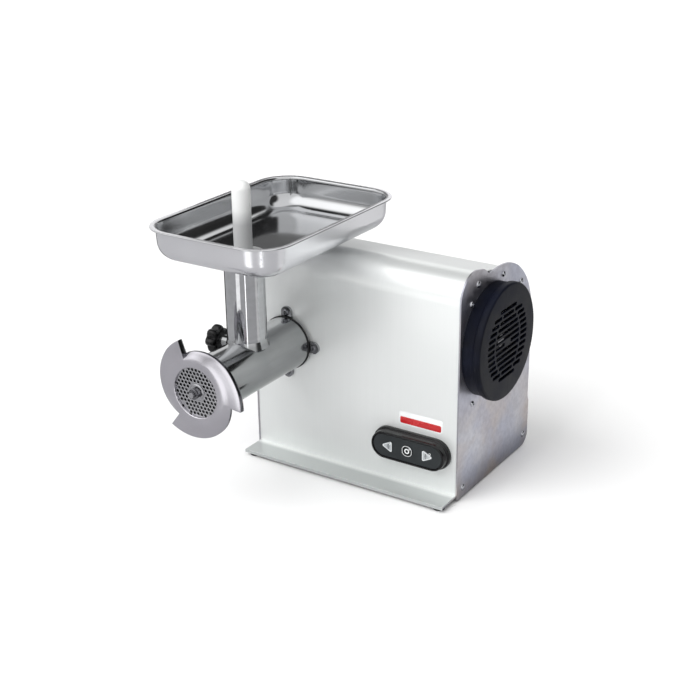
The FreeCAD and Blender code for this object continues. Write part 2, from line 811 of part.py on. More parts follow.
def mounting_flange():
    """The ring with four screwed ears that holds the head on the front panel."""
    disc = cylinder(38, S.ear_thickness, *ahead(0))
    ears, holes, screws = [], [], []
    for x, z in around(S.ear_circle, 4, 0):
        spot = (S.head_x + x, 0, S.head_z + z, FORWARD)
        ears.append(cylinder(S.ear_radius, S.ear_thickness, *spot))
        across = abs(x.value) > abs(z.value)
        width = 2 * S.ear_radius
        length, height = (14, width) if across else (width, 14)
        middle_x, middle_z = S.head_x + x * 0.8, S.head_z + z * 0.8
        ears.append(box(length, S.ear_thickness, height, middle_x - as_size(length) / 2,
                        -S.ear_thickness, middle_z - as_size(height) / 2))
        holes.append(cylinder(3.2, 8, S.head_x + x, 2, S.head_z + z, FORWARD))
        screws.append(domed_screw(S.head_x + x, -S.ear_thickness, S.head_z + z, 14, FORWARD))
    bore = cylinder(30.3, 10, S.head_x, 2, S.head_z, FORWARD)
    keep(cut(fuse(disc, *ears), bore, *holes), "mounting_flange")
    keep(group(*screws), "head_screws")


def grinding_head():
    """Barrel with feed neck, front collar, plate seat and the boss for the clamp knob."""
    start, end = S.barrel_start, S.barrel_end
    barrel = turned("Barrel", [
        (0, -2), (30, -2), (30, start), (S.barrel_radius - 1, start), (S.barrel_radius, start + 1),
        (S.barrel_radius, S.collar_start - 3), (S.collar_radius, S.collar_start),
        (S.collar_radius, end), (0, end)])
    put(barrel, *ahead(0))
    neck = cylinder(S.neck_radius, S.neck_top - S.head_z, S.head_x, -S.neck_distance, S.head_z)
    fillet_ring = cone(S.neck_radius + 3, S.neck_radius, 12, S.head_x, -S.neck_distance, S.head_z + 30)
    boss = cylinder(9, 28, 19, S.knob_y, S.knob_z, RIGHTWARD)
    bore = turned("BarrelBore", [
        (0, -3), (16, -3), (16, 10), (S.barrel_bore, 10), (S.barrel_bore, S.plate_seat),
        (S.mincing_plate_radius + 0.1, S.plate_seat), (S.mincing_plate_radius + 0.1, end + 1), (0, end + 1)])
    put(bore, *ahead(0))
    neck_bore = cylinder(S.neck_bore, 190, S.head_x, -S.neck_distance, S.head_z)
    stud_bore = cylinder(4.3, 19, 18, S.knob_y, S.knob_z, RIGHTWARD)
    key_x, key_z = key_offset()
    key_hole = cylinder(2.4, 14, S.head_x + key_x, -195, S.head_z + key_z, FORWARD)
    bind(key_hole, "Height", S.plate_seat - 195 + 1)
    keep(cut(fuse(barrel, neck, fillet_ring, boss), bore, neck_bore, stud_bore, key_hole), "grinding_head")
    key = cylinder(2.4, end - 195, S.head_x + key_x, -195, S.head_z + key_z, FORWARD)
    keep(key, "plate_key")


def key_offset():
    angle = math.radians(-135)
    return 37.4 * math.cos(angle), 37.4 * math.sin(angle)


def auger():
    """The feed screw with its square tang, knife square and front stud."""
    flight_start, flight_end = 17, 194
    core_radius = S.auger_core.value
    screw = flight(core_radius, S.auger_radius.value, 9, 4, S.auger_lead.value, flight_end - flight_start)
    screw.translate(Vector(0, 0, flight_start))
    core = Part.makeCylinder(core_radius, 200.5 - 10, Vector(0, 0, 10))
    journal = Part.makeCylinder(15.9, 14, Vector(0, 0, -2.5))
    tang = Part.makeBox(14, 14, 20, Vector(-7, -7, -21))
    knife_square = Part.makeBox(12, 12, 9.5, Vector(-6, -6, 200))
    stud = Part.makeCylinder(S.stud_radius.value, 24, Vector(0, 0, 200))
    tip_length = S.stud_tip.value - 224
    tip = Part.makeCylinder(4.2, tip_length, Vector(0, 0, 224)).fuse(
        Part.makeCone(4.2, 3.2, 1, Vector(0, 0, 224 + tip_length - 1)))
    whole = core.fuse([screw, journal, tang, knife_square, stud, tip])
    item = coded(whole, "Auger")
    item.Placement = Placement(Vector(0, 0, 0), FORWARD)
    bind(item, "Placement.Base.x", S.head_x)
    bind(item, "Placement.Base.z", S.head_z)
    keep(item, "auger")


def knife():
    """Four blades on a hub with a square hole."""
    thickness = 9
    hub = cylinder(13, thickness, *ahead(200.6))
    blades = []
    for number in range(4):
        turn = FORWARD * Rotation(Vector(0, 0, 1), 90 * number)
        offset = turn.multVec(Vector(8, -5, 0))
        blade = box(25.5, 9, thickness, 0, 0, 0)
        blade.Placement = Placement(Vector(0, 0, 0), turn)
        bind(blade, "Placement.Base.x", S.head_x + offset.x)
        bind(blade, "Placement.Base.y", offset.y - 200.6)
        bind(blade, "Placement.Base.z", S.head_z + offset.z)
        blades.append(blade)
    square = box(12, 30, 12, S.head_x - 6, -215, S.head_z - 6)
    keep(cut(fuse(hub, *blades), square), "knife")


def mincing_plate():
    """The perforated plate: a close-packed field of holes round a plain hub."""
    radius, thickness = S.mincing_plate_radius.value, S.mincing_plate_thickness.value
    disc = Part.Wire(Part.makeCircle(radius))
    centre_bore = Part.Wire(Part.makeCircle(S.stud_radius.value + 0.08))
    wires = [disc, centre_bore]
    pitch, hole = S.plate_hole_pitch.value, S.plate_hole_radius.value
    inner, outer = 14.5, 35.2
    key_x, key_z = key_offset()
    for row in range(-7, 8):
        for column in range(-7, 8):
            x = pitch * (column + 0.5 * (row % 2))
            y = pitch * math.sqrt(3) / 2 * row
            near_key = math.hypot(x - key_x, y - key_z) < 7
            if inner < math.hypot(x, y) < outer and not near_key:
                wires.append(Part.Wire(Part.makeCircle(hole, Vector(x, y, 0))))
    plate = Part.Face(wires, "Part::FaceMakerBullseye").extrude(Vector(0, 0, thickness))
    hub = Part.makeCylinder(11.5, 1.5, Vector(0, 0, thickness)).cut(
        Part.makeCylinder(S.stud_radius.value + 0.08, 2, Vector(0, 0, thickness)))
    notch = Part.makeBox(10, 5.4, thickness, Vector(34.4, -2.7, 0))
    notch.rotate(Vector(0, 0, 0), Vector(0, 0, 1), -135)
    item = coded(plate.fuse(hub).cut(notch), "MincingPlate")
    item.Placement = Placement(Vector(0, 0, 0), FORWARD)
    bind(item, "Placement.Base.x", S.head_x)
    bind(item, "Placement.Base.y", -(S.barrel_end - S.mincing_plate_thickness))
    bind(item, "Placement.Base.z", S.head_z)
    keep(item, "mincing_plate")


def lobe_outline(growth_steps=3):
    """A closed wire of three lobes that each grow clockwise to a tip and step back in."""
    low, high = S.lobe_start_radius.value, S.lobe_tip_radius.value
    edges = []
    for lobe in range(3):
        tip = S.lobe_tip_angle.value - 120 * lobe
        begin = tip + 120

        def at(fraction):
            angle = math.radians(begin - 120 * fraction)
            radius = low + (high - low) * fraction ** 0.9
            return Vector(radius * math.cos(angle), radius * math.sin(angle), 0)

        for step in range(growth_steps):
            first, middle, last = (at((step + part) / growth_steps) for part in (0, 0.5, 1))
            edges.append(Part.Arc(first, middle, last).toShape())
        corner = math.radians(tip)
        inner = Vector(low * math.cos(corner), low * math.sin(corner), 0)
        edges.append(Part.LineSegment(at(1), inner).toShape())
    return Part.Wire(Part.__sortEdges__(edges))


def ring_nut():
    """The lobed ring nut that holds the mincing plate on the collar."""
    disc = Part.Face(lobe_outline()).extrude(Vector(0, 0, 8))
    disc.translate(Vector(0, 0, 211))
    skirt = Part.makeCylinder(S.nut_skirt_radius.value, 16, Vector(0, 0, 200))
    face = Part.makeCone(54, 40, 3, Vector(0, 0, 219))
    cavity = Part.makeCylinder(S.nut_bore.value, 30, Vector(0, 0, 188.4))
    opening = Part.makeCylinder(S.nut_opening.value, 30, Vector(0, 0, 200))
    nut = disc.fuse([skirt, face]).cut(cavity.fuse(opening))
    item = coded(nut, "RingNut")
    item.Placement = Placement(Vector(0, 0, 0), FORWARD)
    bind(item, "Placement.Base.x", S.head_x)
    bind(item, "Placement.Base.z", S.head_z)
    keep(item, "ring_nut")


def clamp_knob():
    """A star knob with a threaded stud that screws into the boss on the barrel."""
    disc = cylinder(S.knob_radius - 1.5, S.knob_width, S.knob_start, S.knob_y, S.knob_z, RIGHTWARD)
    lobes, valleys = [], []
    for number in range(8):
        for items, angle, radius, distance in (
                (lobes, 45 * number, 5.2, S.knob_radius - 5.2),
                (valleys, 45 * number + 22.5, 4.4, S.knob_radius + 0.8)):
            y = distance * round(math.cos(math.radians(angle)), 6)
            z = distance * round(math.sin(math.radians(angle)), 6)
            items.append(cylinder(radius, S.knob_width, S.knob_start, S.knob_y + y, S.knob_z + z, RIGHTWARD))
    stud_hole = cylinder(4, 10, S.knob_start + S.knob_width - 10, S.knob_y, S.knob_z, RIGHTWARD)
    keep(cut(fuse(disc, *lobes), stud_hole, *valleys), "clamp_knob")
    stud_start = S.knob_start + S.knob_width - 10
    keep(cylinder(4, 36 - stud_start, stud_start, S.knob_y, S.knob_z, RIGHTWARD), "knob_stud")


# ---------------------------------------------------------------- tray and pusher

def rounded_block(width, length, radius, low, high):
    """A solid with four round corners, from one height to another, centred on the neck in x."""
    x_mid, y_mid = tray_middle()
    block = Part.makeBox(width, length, high - low, Vector(x_mid - width / 2, y_mid - length / 2, low))
    corners = [edge for edge in block.Edges
               if abs(edge.Vertexes[0].Point.z - edge.Vertexes[-1].Point.z) > 1]
    return block.makeFillet(radius, corners)


def tray_middle():
    return S.head_x.value, S.tray_rear.value - S.tray_length.value / 2


def bowl(inset, low, high):
    """The tray's pressed form, inset from its outer wall, with a rounded bottom edge."""
    width = S.tray_width.value - 2 * S.tray_lip.value - 2 * inset
    length = S.tray_length.value - 2 * S.tray_lip.value - 2 * inset
    block = rounded_block(width, length, S.tray_corner.value - inset, low, high)
    bottom = [edge for edge in block.Edges if all(abs(v.Point.z - low) < 1e-4 for v in edge.Vertexes)]
    return block.makeFillet(S.tray_bottom_radius.value - inset, bottom)


def feed_tray():
    """A deep-drawn tray with a flat rim, and a spigot that drops into the neck."""
    rim_top, floor, skin = S.tray_rim.value, S.tray_floor.value, S.tray_sheet.value
    outer = bowl(0, floor, rim_top)
    inner = bowl(skin, floor + skin, rim_top + 5)
    lip = S.tray_lip.value
    rim_corner = S.tray_corner.value + lip
    rim = rounded_block(S.tray_width.value, S.tray_length.value, rim_corner, rim_top - 2, rim_top)
    pressed = outer.fuse(rim).cut(inner)
    x, y = S.head_x.value, -S.neck_distance.value
    spigot_low = floor - S.spigot_length.value
    spigot = Part.makeCylinder(S.spigot_radius.value, S.spigot_length.value + skin, Vector(x, y, spigot_low))
    hole = Part.makeCylinder(S.spigot_bore.value, S.spigot_length.value + 10, Vector(x, y, spigot_low - 1))
    tray = coded(pressed.fuse(spigot).cut(hole).removeSplitter(), "FeedTray")
    keep(tray, "feed_tray")


def pusher():
    """A turned plastic pusher: round-topped rod, a stop that rests on the tray, a plug for the neck."""
    body = turned("Pusher", [
        (0, S.plug_bottom), (S.plug_radius - 2, S.plug_bottom), (S.plug_radius, S.plug_bottom + 2),
        (S.plug_radius, S.plug_top - 6), (S.rod_radius, S.plug_top),
        (S.rod_radius, S.stop_bottom), (S.stop_radius, S.stop_bottom),
        (S.stop_radius, S.stop_bottom + 4), (S.rod_radius + 2, S.stop_bottom + 6),
        (S.rod_radius, S.stop_bottom + 9),
        (S.rod_radius, S.pusher_top), (0, S.pusher_top)])
    body.Tip = round_edges(body, body.Tip, S.rod_radius - 1.5, level_edge(S.pusher_top))
    keep(put(body, S.head_x, -S.neck_distance, 0), "pusher")


# ---------------------------------------------------------------- switch pod

KEYS = (("reverse", -1), ("stop", 0), ("forward", 1))


def key_corners(direction, grow):
    """The corners of a triangular key that points left or right; None for the round stop key."""
    half = S.key_side / 2 + grow
    if direction == 0:
        return None
    return [(-direction * half * 0.9, -half, 2), (-direction * half * 0.9, half, 2), (direction * half, 0, 2)]


def key_solid(direction, grow, depth):
    corners = key_corners(direction, grow)
    if corners is None:
        return cylinder(S.key_side / 2 + grow, depth, 0, 0, 0)
    return prism("Key", corners, depth)


def switch_pod():
    """Raised bezel, switch body, printed face with three openings, sprung keys."""
    front, centre_z = S.pod_depth, S.pod_z
    outer = slot_prism("Bezel", S.pod_length, S.pod_height, S.pod_depth)
    outer.Tip = round_edges(outer, outer.Tip, 5, level_edge(S.pod_depth))
    put(outer, S.pod_x, 0, centre_z, FORWARD)
    window = slot_prism("Window", S.face_length + 0.4, S.face_height + 0.4, S.pod_depth + 4)
    put(window, S.pod_x, 2, centre_z, FORWARD)
    keep(cut(outer, window), "switch_bezel")

    block = box(99, 17.5, 29, S.pod_x - 49.5, -7.5, centre_z - 14.5)
    keep(block, "switch_body")

    face_back, face_thickness = front - 3.5, 2
    face = slot_prism("Face", S.face_length, S.face_height, face_thickness)
    put(face, S.pod_x, -face_back, centre_z, FORWARD)
    openings = []
    for _, direction in KEYS:
        opening = key_solid(direction, S.key_clearance, 12)
        put(opening, S.pod_x + direction * S.key_spacing, -(front - 8), centre_z, FORWARD)
        openings.append(opening)
    keep(cut(face, *openings), "switch_face")

    key_back = front - 5.2
    for name, direction in KEYS:
        x = S.pod_x + direction * S.key_spacing
        key = key_solid(direction, 0, 4.4)
        put(key, x, -key_back, centre_z, FORWARD)
        rim = key_solid(direction, 1.5, 1.4)
        put(rim, x, -key_back, centre_z, FORWARD)
        stem = cylinder(2.6, 3.4, x, -(key_back - 3.4), centre_z, FORWARD)
        keep(fuse(key, rim, stem), f"{name}_button")
        keep(ring(4.4, 3.4, 4.6, x, -7.8, centre_z, FORWARD), f"{name}_spring")

    badge = prism("Badge", [(-36, -10, 4), (36, -10, 4), (36, 10, 4), (-36, 10, 4)], 0.8)
    keep(put(badge, 293, 0, 113, FORWARD), "front_badge")


casing_shell()
end_plates()
tie_bars()
end_plate_screws()
base_and_feet()
motor()
fan()
fan_cover()
worm_gear_set()
gearbox()
electrics()
mounting_flange()
grinding_head()
auger()
knife()
mincing_plate()
ring_nut()
clamp_knob()
feed_tray()
pusher()
switch_pod()
doc.recompute()


def move_to_row_frame():
    """Shift every sub-part so that the row frame's origin is the middle of the footprint."""
    for item in subparts:
        bound = dict(item.ExpressionEngine)
        for axis, offset in (("x", S.origin_x), ("y", S.origin_y)):
            path = next((key for key in bound if key.endswith(f"Placement.Base.{axis}")), None)
            if path:
                item.setExpression(path, f"{bound[path]} - {offset.text}")
            else:
                item.setExpression(f"Placement.Base.{axis}", f"-{offset.text}")
    doc.recompute()


def check_and_write():
    """Refuse a failed object or a bad shape, then write one file for each sub-part."""
    for item in doc.Objects:
        if "Invalid" in item.State or "Error" in item.State:
            raise RuntimeError(f"{item.Label} failed: {item.State}")
    os.makedirs("parts", exist_ok=True)
    whole = FreeCAD.BoundBox()
    for item in subparts:
        shape = item.Shape
        if shape.isNull() or not shape.isValid():
            raise RuntimeError(f"{item.Label} has a bad shape")
        whole.add(shape.optimalBoundingBox())
        shape.exportStep(f"parts/{item.Label}.step")
    print(f"{len(subparts)} sub-parts, box from ({whole.XMin:.2f}, {whole.YMin:.2f}, {whole.ZMin:.2f})"
          f" to ({whole.XMax:.2f}, {whole.YMax:.2f}, {whole.ZMax:.2f})")


move_to_row_frame()
check_and_write()
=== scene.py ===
"""Looks of the electric meat grinder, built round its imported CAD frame.

Pieces are drawn in millimetres in a frame of their own, whose z axis points out of the
machine, and are set in metres in the row frame by a spot matrix.
"""
import math

import bmesh
import bpy
from mathutils import Matrix, Vector


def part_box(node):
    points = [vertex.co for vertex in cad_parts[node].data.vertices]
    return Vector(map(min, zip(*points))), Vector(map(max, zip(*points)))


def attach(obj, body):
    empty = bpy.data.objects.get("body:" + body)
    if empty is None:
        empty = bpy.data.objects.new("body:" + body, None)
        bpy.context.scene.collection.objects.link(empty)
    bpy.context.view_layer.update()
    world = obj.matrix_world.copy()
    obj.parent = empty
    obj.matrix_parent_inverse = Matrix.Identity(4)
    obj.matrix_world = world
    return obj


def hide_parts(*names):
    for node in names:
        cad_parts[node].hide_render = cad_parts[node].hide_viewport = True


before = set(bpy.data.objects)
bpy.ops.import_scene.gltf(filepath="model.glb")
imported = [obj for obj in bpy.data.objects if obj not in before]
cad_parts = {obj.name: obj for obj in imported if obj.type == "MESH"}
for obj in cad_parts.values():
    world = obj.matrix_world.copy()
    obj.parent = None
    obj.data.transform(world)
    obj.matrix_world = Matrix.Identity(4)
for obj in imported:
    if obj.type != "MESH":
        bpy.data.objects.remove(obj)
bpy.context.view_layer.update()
MM = 0.001

# ---------------------------------------------------------------- places on the machine

UPWARD = Matrix.Identity(3)
FORWARD = Matrix(((1, 0, 0), (0, 0, -1), (0, 1, 0)))
RIGHTWARD = Matrix(((0, 0, 1), (1, 0, 0), (0, 1, 0)))
LEFTWARD = Matrix(((0, 0, -1), (-1, 0, 0), (0, 1, 0)))


def spot(x, y, z, turn=UPWARD):
    """The matrix from a piece's own millimetres to a place in the row frame, in metres."""
    return Matrix.Translation((x, y, z)) @ turn.to_4x4() @ Matrix.Scale(MM, 4)


def middle(node):
    low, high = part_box(node)
    return (low + high) / 2


PANEL_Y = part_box("mounting_flange")[1].y
HEAD = middle("mincing_plate")
AHEAD = spot(HEAD.x, PANEL_Y, HEAD.z, FORWARD)
END_PLATE_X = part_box("right_end_plate")[1].x
FAN = middle("fan_cover")
TRAY_LOW, TRAY_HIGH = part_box("feed_tray")
POD = middle("switch_bezel")
KNOB = middle("clamp_knob")


# ---------------------------------------------------------------- mesh helpers

def in_scene(name, data):
    """A new object round a mesh, a lamp or a camera, linked to the scene."""
    item = bpy.data.objects.new(name, data)
    bpy.context.scene.collection.objects.link(item)
    return item


def piece_from(name, points, faces, place):
    """An object from loose points and faces, merged, closed and facing outwards."""
    form = bmesh.new()
    made = [form.verts.new(point) for point in points]
    for face in faces:
        form.faces.new([made[index] for index in face])
    bmesh.ops.remove_doubles(form, verts=form.verts, dist=0.001)
    bmesh.ops.dissolve_degenerate(form, edges=form.edges, dist=0.0005)
    bmesh.ops.recalc_face_normals(form, faces=form.faces)
    mesh = bpy.data.meshes.new(name)
    form.to_mesh(mesh)
    form.free()
    mesh.transform(place)
    return in_scene(name, mesh)


def skin(name, loops, place, joined=False, capped=True):
    """Skin a row of equal loops; joined closes the row on itself, else its ends are capped."""
    count = len(loops[0])
    points = [point for loop in loops for point in loop]
    faces = []
    rows = len(loops) if joined else len(loops) - 1
    for row in range(rows):
        base, following = row * count, (row + 1) % len(loops) * count
        for index in range(count):
            after = (index + 1) % count
            faces.append((base + index, base + after, following + after, following + index))
    if capped and not joined:
        faces.append(tuple(range(count)))
        faces.append(tuple(range(len(points) - count, len(points))))
    return piece_from(name, points, faces, place)


def turned(name, profile, place, steps=96):
    """A turned piece from the closed outline of its section, as (radius, height) corners."""
    stations = []
    for step in range(steps):
        angle = 2 * math.pi * step / steps
        stations.append([(radius * math.cos(angle), radius * math.sin(angle), height)
                         for radius, height in profile])
    return skin(name, stations, place, joined=True)


def settled(piece, sharp=35):
    """Turn the live modifiers into plain mesh and shade it smooth up to the sharp angle."""
    graph = bpy.context.evaluated_depsgraph_get()
    mesh = bpy.data.meshes.new_from_object(piece.evaluated_get(graph))
    piece.modifiers.clear()
    piece.data = mesh
    mesh.shade_smooth()
    mesh.set_sharp_from_angle(angle=math.radians(sharp))
    return piece


def bevelled(piece, width, segments=2, sharp=30):
    """Round the edges that are sharper than the angle, by a width in millimetres."""
    rounding = piece.modifiers.new("edge_rounding", "BEVEL")
    rounding.width = width * MM
    rounding.segments = segments
    rounding.limit_method = "ANGLE"
    rounding.angle_limit = math.radians(sharp)
    return piece


def dressed(piece, *materials):
    piece.data.materials.clear()
    for material in materials:
        piece.data.materials.append(material)
    return piece


def arc(centre_x, centre_y, radius, start, end, steps):
    """Points along an arc, ends included; angles in degrees."""
    points = []
    for step in range(steps + 1):
        angle = math.radians(start + (end - start) * step / steps)
        points.append((centre_x + radius * math.cos(angle), centre_y + radius * math.sin(angle)))
    return points


def stadium(length, height, steps=16):
    """A bar outline with two half-round ends, centred on the origin."""
    radius = height / 2
    reach = length / 2 - radius
    return arc(reach, 0, radius, -90, 90, steps) + arc(-reach, 0, radius, 90, 270, steps)


def rounded_rectangle(width, length, radius, steps=10):
    """A rectangle outline with four round corners, centred on the origin."""
    x, y = width / 2 - radius, length / 2 - radius
    points = []
    for sign_x, sign_y, start in ((1, -1, -90), (1, 1, 0), (-1, 1, 90), (-1, -1, 180)):
        points += arc(sign_x * x, sign_y * y, radius, start, start + 90, steps)
    return points


def at_height(outline, height):
    return [(x, y, height) for x, y in outline]


# ---------------------------------------------------------------- node helpers

class Nodes:
    """Adds nodes to a tree, with their inputs set or linked in the same call."""

    def __init__(self, tree):
        self.tree = tree

    def link(self, value, socket):
        self.tree.links.new(value, socket)

    def feed(self, socket, value):
        """Link a socket to another node's output, or set its own value."""
        if isinstance(value, bpy.types.NodeSocket):
            self.link(value, socket)
        else:
            socket.default_value = value

    def add(self, kind, inputs=None, **settings):
        node = self.tree.nodes.new(kind)
        for name, value in settings.items():
            setattr(node, name, value)
        for key, value in (inputs or {}).items():
            for item in value if isinstance(value, list) else [value]:
                self.feed(node.inputs[key], item)
        return node

    def maths(self, operation, first, second=0.0):
        return self.add("ShaderNodeMath", {0: first, 1: second}, operation=operation).outputs[0]

    def times(self, first, second):
        return self.maths("MULTIPLY", first, second)

    def plus(self, first, second):
        return self.maths("ADD", first, second)

    def vector_maths(self, operation, first, second):
        return self.add("ShaderNodeVectorMath", {0: first, 1: second}, operation=operation).outputs[0]

    def axis(self, vector, index):
        """One number of a vector: 0 across, 1 in depth, 2 up."""
        return self.add("ShaderNodeSeparateXYZ", {0: vector}).outputs[index]

    def remap(self, value, low, high, to_low, to_high):
        inputs = {"Value": value, "From Min": low, "From Max": high, "To Min": to_low, "To Max": to_high}
        return self.add("ShaderNodeMapRange", inputs).outputs["Result"]

    def blend(self, factor, first, second):
        """Mix two colours."""
        node = self.add("ShaderNodeMix", data_type="RGBA")
        for index, value in ((0, factor), (6, first), (7, second)):
            self.feed(node.inputs[index], value)
        return node.outputs[2]

    def group(self, tree, **inputs):
        node = self.add("ShaderNodeGroup", node_tree=tree)
        for key, value in inputs.items():
            self.feed(node.inputs[key.replace("_", " ")], value)
        return node.outputs

    def drift(self, where, patches, sharpness):
        return self.group(DRIFT, Vector=where, Patches=patches, Sharpness=sharpness)["Mask"]

    def edges(self, where, reach, breaks, share):
        """The edge wear mask, thinned to a share of its strength."""
        return self.times(self.group(WEAR, Vector=where, Reach=reach, Breaks=breaks)["Mask"], share)

    def end_geometry(self, geometry, finish, leave):
        """Turn instances into mesh, coat it all and put it out of the tree."""
        real = self.add("GeometryNodeRealizeInstances", {"Geometry": geometry}).outputs[0]
        coated = self.add("GeometryNodeSetMaterial", {"Geometry": real, "Material": finish}).outputs[0]
        self.link(coated, leave)


def new_tree(name, kind, inputs, outputs):
    """A node group with named sockets; returns the tree, its adder, and both end nodes."""
    tree = bpy.data.node_groups.new(name, kind)
    for label, socket_type, default in inputs:
        socket = tree.interface.new_socket(name=label, in_out="INPUT", socket_type="NodeSocket" + socket_type)
        if default is not None:
            socket.default_value = default
    for label, socket_type in outputs:
        tree.interface.new_socket(name=label, in_out="OUTPUT", socket_type="NodeSocket" + socket_type)
    nodes = Nodes(tree)
    entry, leave = nodes.add("NodeGroupInput"), nodes.add("NodeGroupOutput")
    return tree, nodes, entry.outputs, leave.inputs


def tone(red, green, blue):
    """A linear colour from display levels between 0 and 255."""
    levels = [level / 255 for level in (red, green, blue)]
    return (*(v / 12.92 if v <= 0.04045 else ((v + 0.055) / 1.055) ** 2.4 for v in levels), 1.0)


# ---------------------------------------------------------------- shared surface effects

def grain_group():
    """Fine lines drawn out along one direction, as a brush or a lathe tool leaves them."""
    tree, nodes, given, out = new_tree(
        "directional_grain", "ShaderNodeTree",
        [("Vector", "Vector", None), ("Lines", "Vector", (1, 1, 1)), ("Contrast", "Float", 1.0)],
        [("Grain", "Float")])
    stretched = nodes.vector_maths("MULTIPLY", given["Vector"], given["Lines"])
    noise = nodes.add("ShaderNodeTexNoise", {"Vector": stretched, "Scale": 1.0, "Detail": 3.0,
                                             "Roughness": 0.65}).outputs[0]
    centred = nodes.maths("SUBTRACT", noise, 0.5)
    raised = nodes.times(centred, given["Contrast"])
    nodes.link(nodes.plus(raised, 0.5), out["Grain"])
    return tree


def turning_group():
    """Concentric tool marks round an axis that runs front to back."""
    tree, nodes, given, out = new_tree(
        "turning_marks", "ShaderNodeTree",
        [("Vector", "Vector", None), ("Rings", "Float", 2500.0)], [("Marks", "Float")])
    flat = nodes.vector_maths("MULTIPLY", given["Vector"], (1, 0, 1))
    radius = nodes.add("ShaderNodeVectorMath", {0: flat}, operation="LENGTH").outputs["Value"]
    depth = nodes.plus(radius, nodes.axis(given["Vector"], 1))
    scaled = nodes.times(depth, given["Rings"])
    noise = nodes.add("ShaderNodeTexNoise", {"W": scaled, "Scale": 1.0, "Detail": 2.0},
                      noise_dimensions="1D").outputs[0]
    nodes.link(noise, out["Marks"])
    return tree


def drift_group():
    """Soft clouds that vary a colour or a gloss slowly over the surface."""
    tree, nodes, given, out = new_tree(
        "tone_drift", "ShaderNodeTree",
        [("Vector", "Vector", None), ("Patches", "Float", 10.0), ("Sharpness", "Float", 1.0)],
        [("Mask", "Float")])
    noise = nodes.add("ShaderNodeTexNoise", {"Vector": given["Vector"], "Scale": given["Patches"],
                                             "Detail": 3.0, "Distortion": 0.3}).outputs[0]
    centred = nodes.times(nodes.maths("SUBTRACT", noise, 0.5), given["Sharpness"])
    mask = nodes.add("ShaderNodeMath", {0: nodes.times(centred, 2.4), 1: 0.5},
                     operation="ADD", use_clamp=True).outputs[0]
    nodes.link(mask, out["Mask"])
    return tree


def wear_group():
    """A mask of the outer edges, broken up, where handling brightens a finish."""
    tree, nodes, given, out = new_tree(
        "edge_wear", "ShaderNodeTree",
        [("Vector", "Vector", None), ("Reach", "Float", 0.0015), ("Breaks", "Float", 220.0)],
        [("Mask", "Float")])
    closed = nodes.add("ShaderNodeAmbientOcclusion", {"Distance": given["Reach"]},
                       inside=True, only_local=True, samples=4).outputs["AO"]
    edge = nodes.remap(closed, 0.95, 0.55, 0.0, 1.0)
    noise = nodes.add("ShaderNodeTexNoise", {"Vector": given["Vector"], "Scale": given["Breaks"],
                                             "Detail": 2.0}).outputs[0]
    broken = nodes.remap(noise, 0.4, 0.6, 0.2, 1.0)
    nodes.link(nodes.times(edge, broken), out["Mask"])
    return tree


def marks_group():
    """A mask of sparse fine scratches from wiping."""
    tree, nodes, given, out = new_tree(
        "wiping_marks", "ShaderNodeTree",
        [("Vector", "Vector", None), ("Size", "Float", 60.0)], [("Mask", "Float")])
    bent = nodes.add("ShaderNodeTexNoise", {"Vector": given["Vector"], "Scale": 9.0}).outputs[1]
    sway = nodes.vector_maths("MULTIPLY", bent, (0.02, 0.02, 0.02))
    moved = nodes.vector_maths("ADD", given["Vector"], sway)
    lines = nodes.vector_maths("MULTIPLY", moved, (1.0, 1.0, 0.08))
    noise = nodes.add("ShaderNodeTexNoise", {"Vector": lines, "Scale": given["Size"], "Detail": 4.0,
                                             "Roughness": 0.7}).outputs[0]
    nodes.link(nodes.remap(noise, 0.56, 0.70, 0.0, 1.0), out["Mask"])
    return tree


def pebble_group():
    """The fine pebble texture of a moulded plastic or a cast skin."""
    tree, nodes, given, out = new_tree(
        "pebble_texture", "ShaderNodeTree",
        [("Vector", "Vector", None), ("Grains", "Float", 1500.0)], [("Height", "Float")])
    fine = nodes.add("ShaderNodeTexNoise", {"Vector": given["Vector"], "Scale": given["Grains"],
                                            "Detail": 2.0}).outputs[0]
    broad = nodes.add("ShaderNodeTexVoronoi", {"Vector": given["Vector"], "Scale": given["Grains"]},
                      feature="SMOOTH_F1").outputs[0]
    nodes.link(nodes.plus(nodes.times(broad, 0.6), fine), out["Height"])
    return tree


GRAIN = grain_group()
TURNING = turning_group()
DRIFT = drift_group()
WEAR = wear_group()
MARKS = marks_group()
PEBBLE = pebble_group()


# ---------------------------------------------------------------- finishes

def new_finish(name, **numbers):
    """A material whose shader carries its own constant numbers."""
    material = bpy.data.materials.new(name)
    material.use_nodes = True
    tree = material.node_tree
    tree.nodes.clear()
    nodes = Nodes(tree)
    shader = nodes.add("ShaderNodeBsdfPrincipled", {key.replace("_", " "): v for key, v in numbers.items()})
    ending = nodes.add("ShaderNodeOutputMaterial")
    tree.links.new(shader.outputs[0], ending.inputs["Surface"])
    where = nodes.add("ShaderNodeTexCoord").outputs["Object"]
    return material, nodes, shader.inputs, where


def bump(nodes, shader, height, distance):
    relief = nodes.add("ShaderNodeBump", {"Height": height, "Distance": distance})
    nodes.link(relief.outputs[0], shader["Normal"])


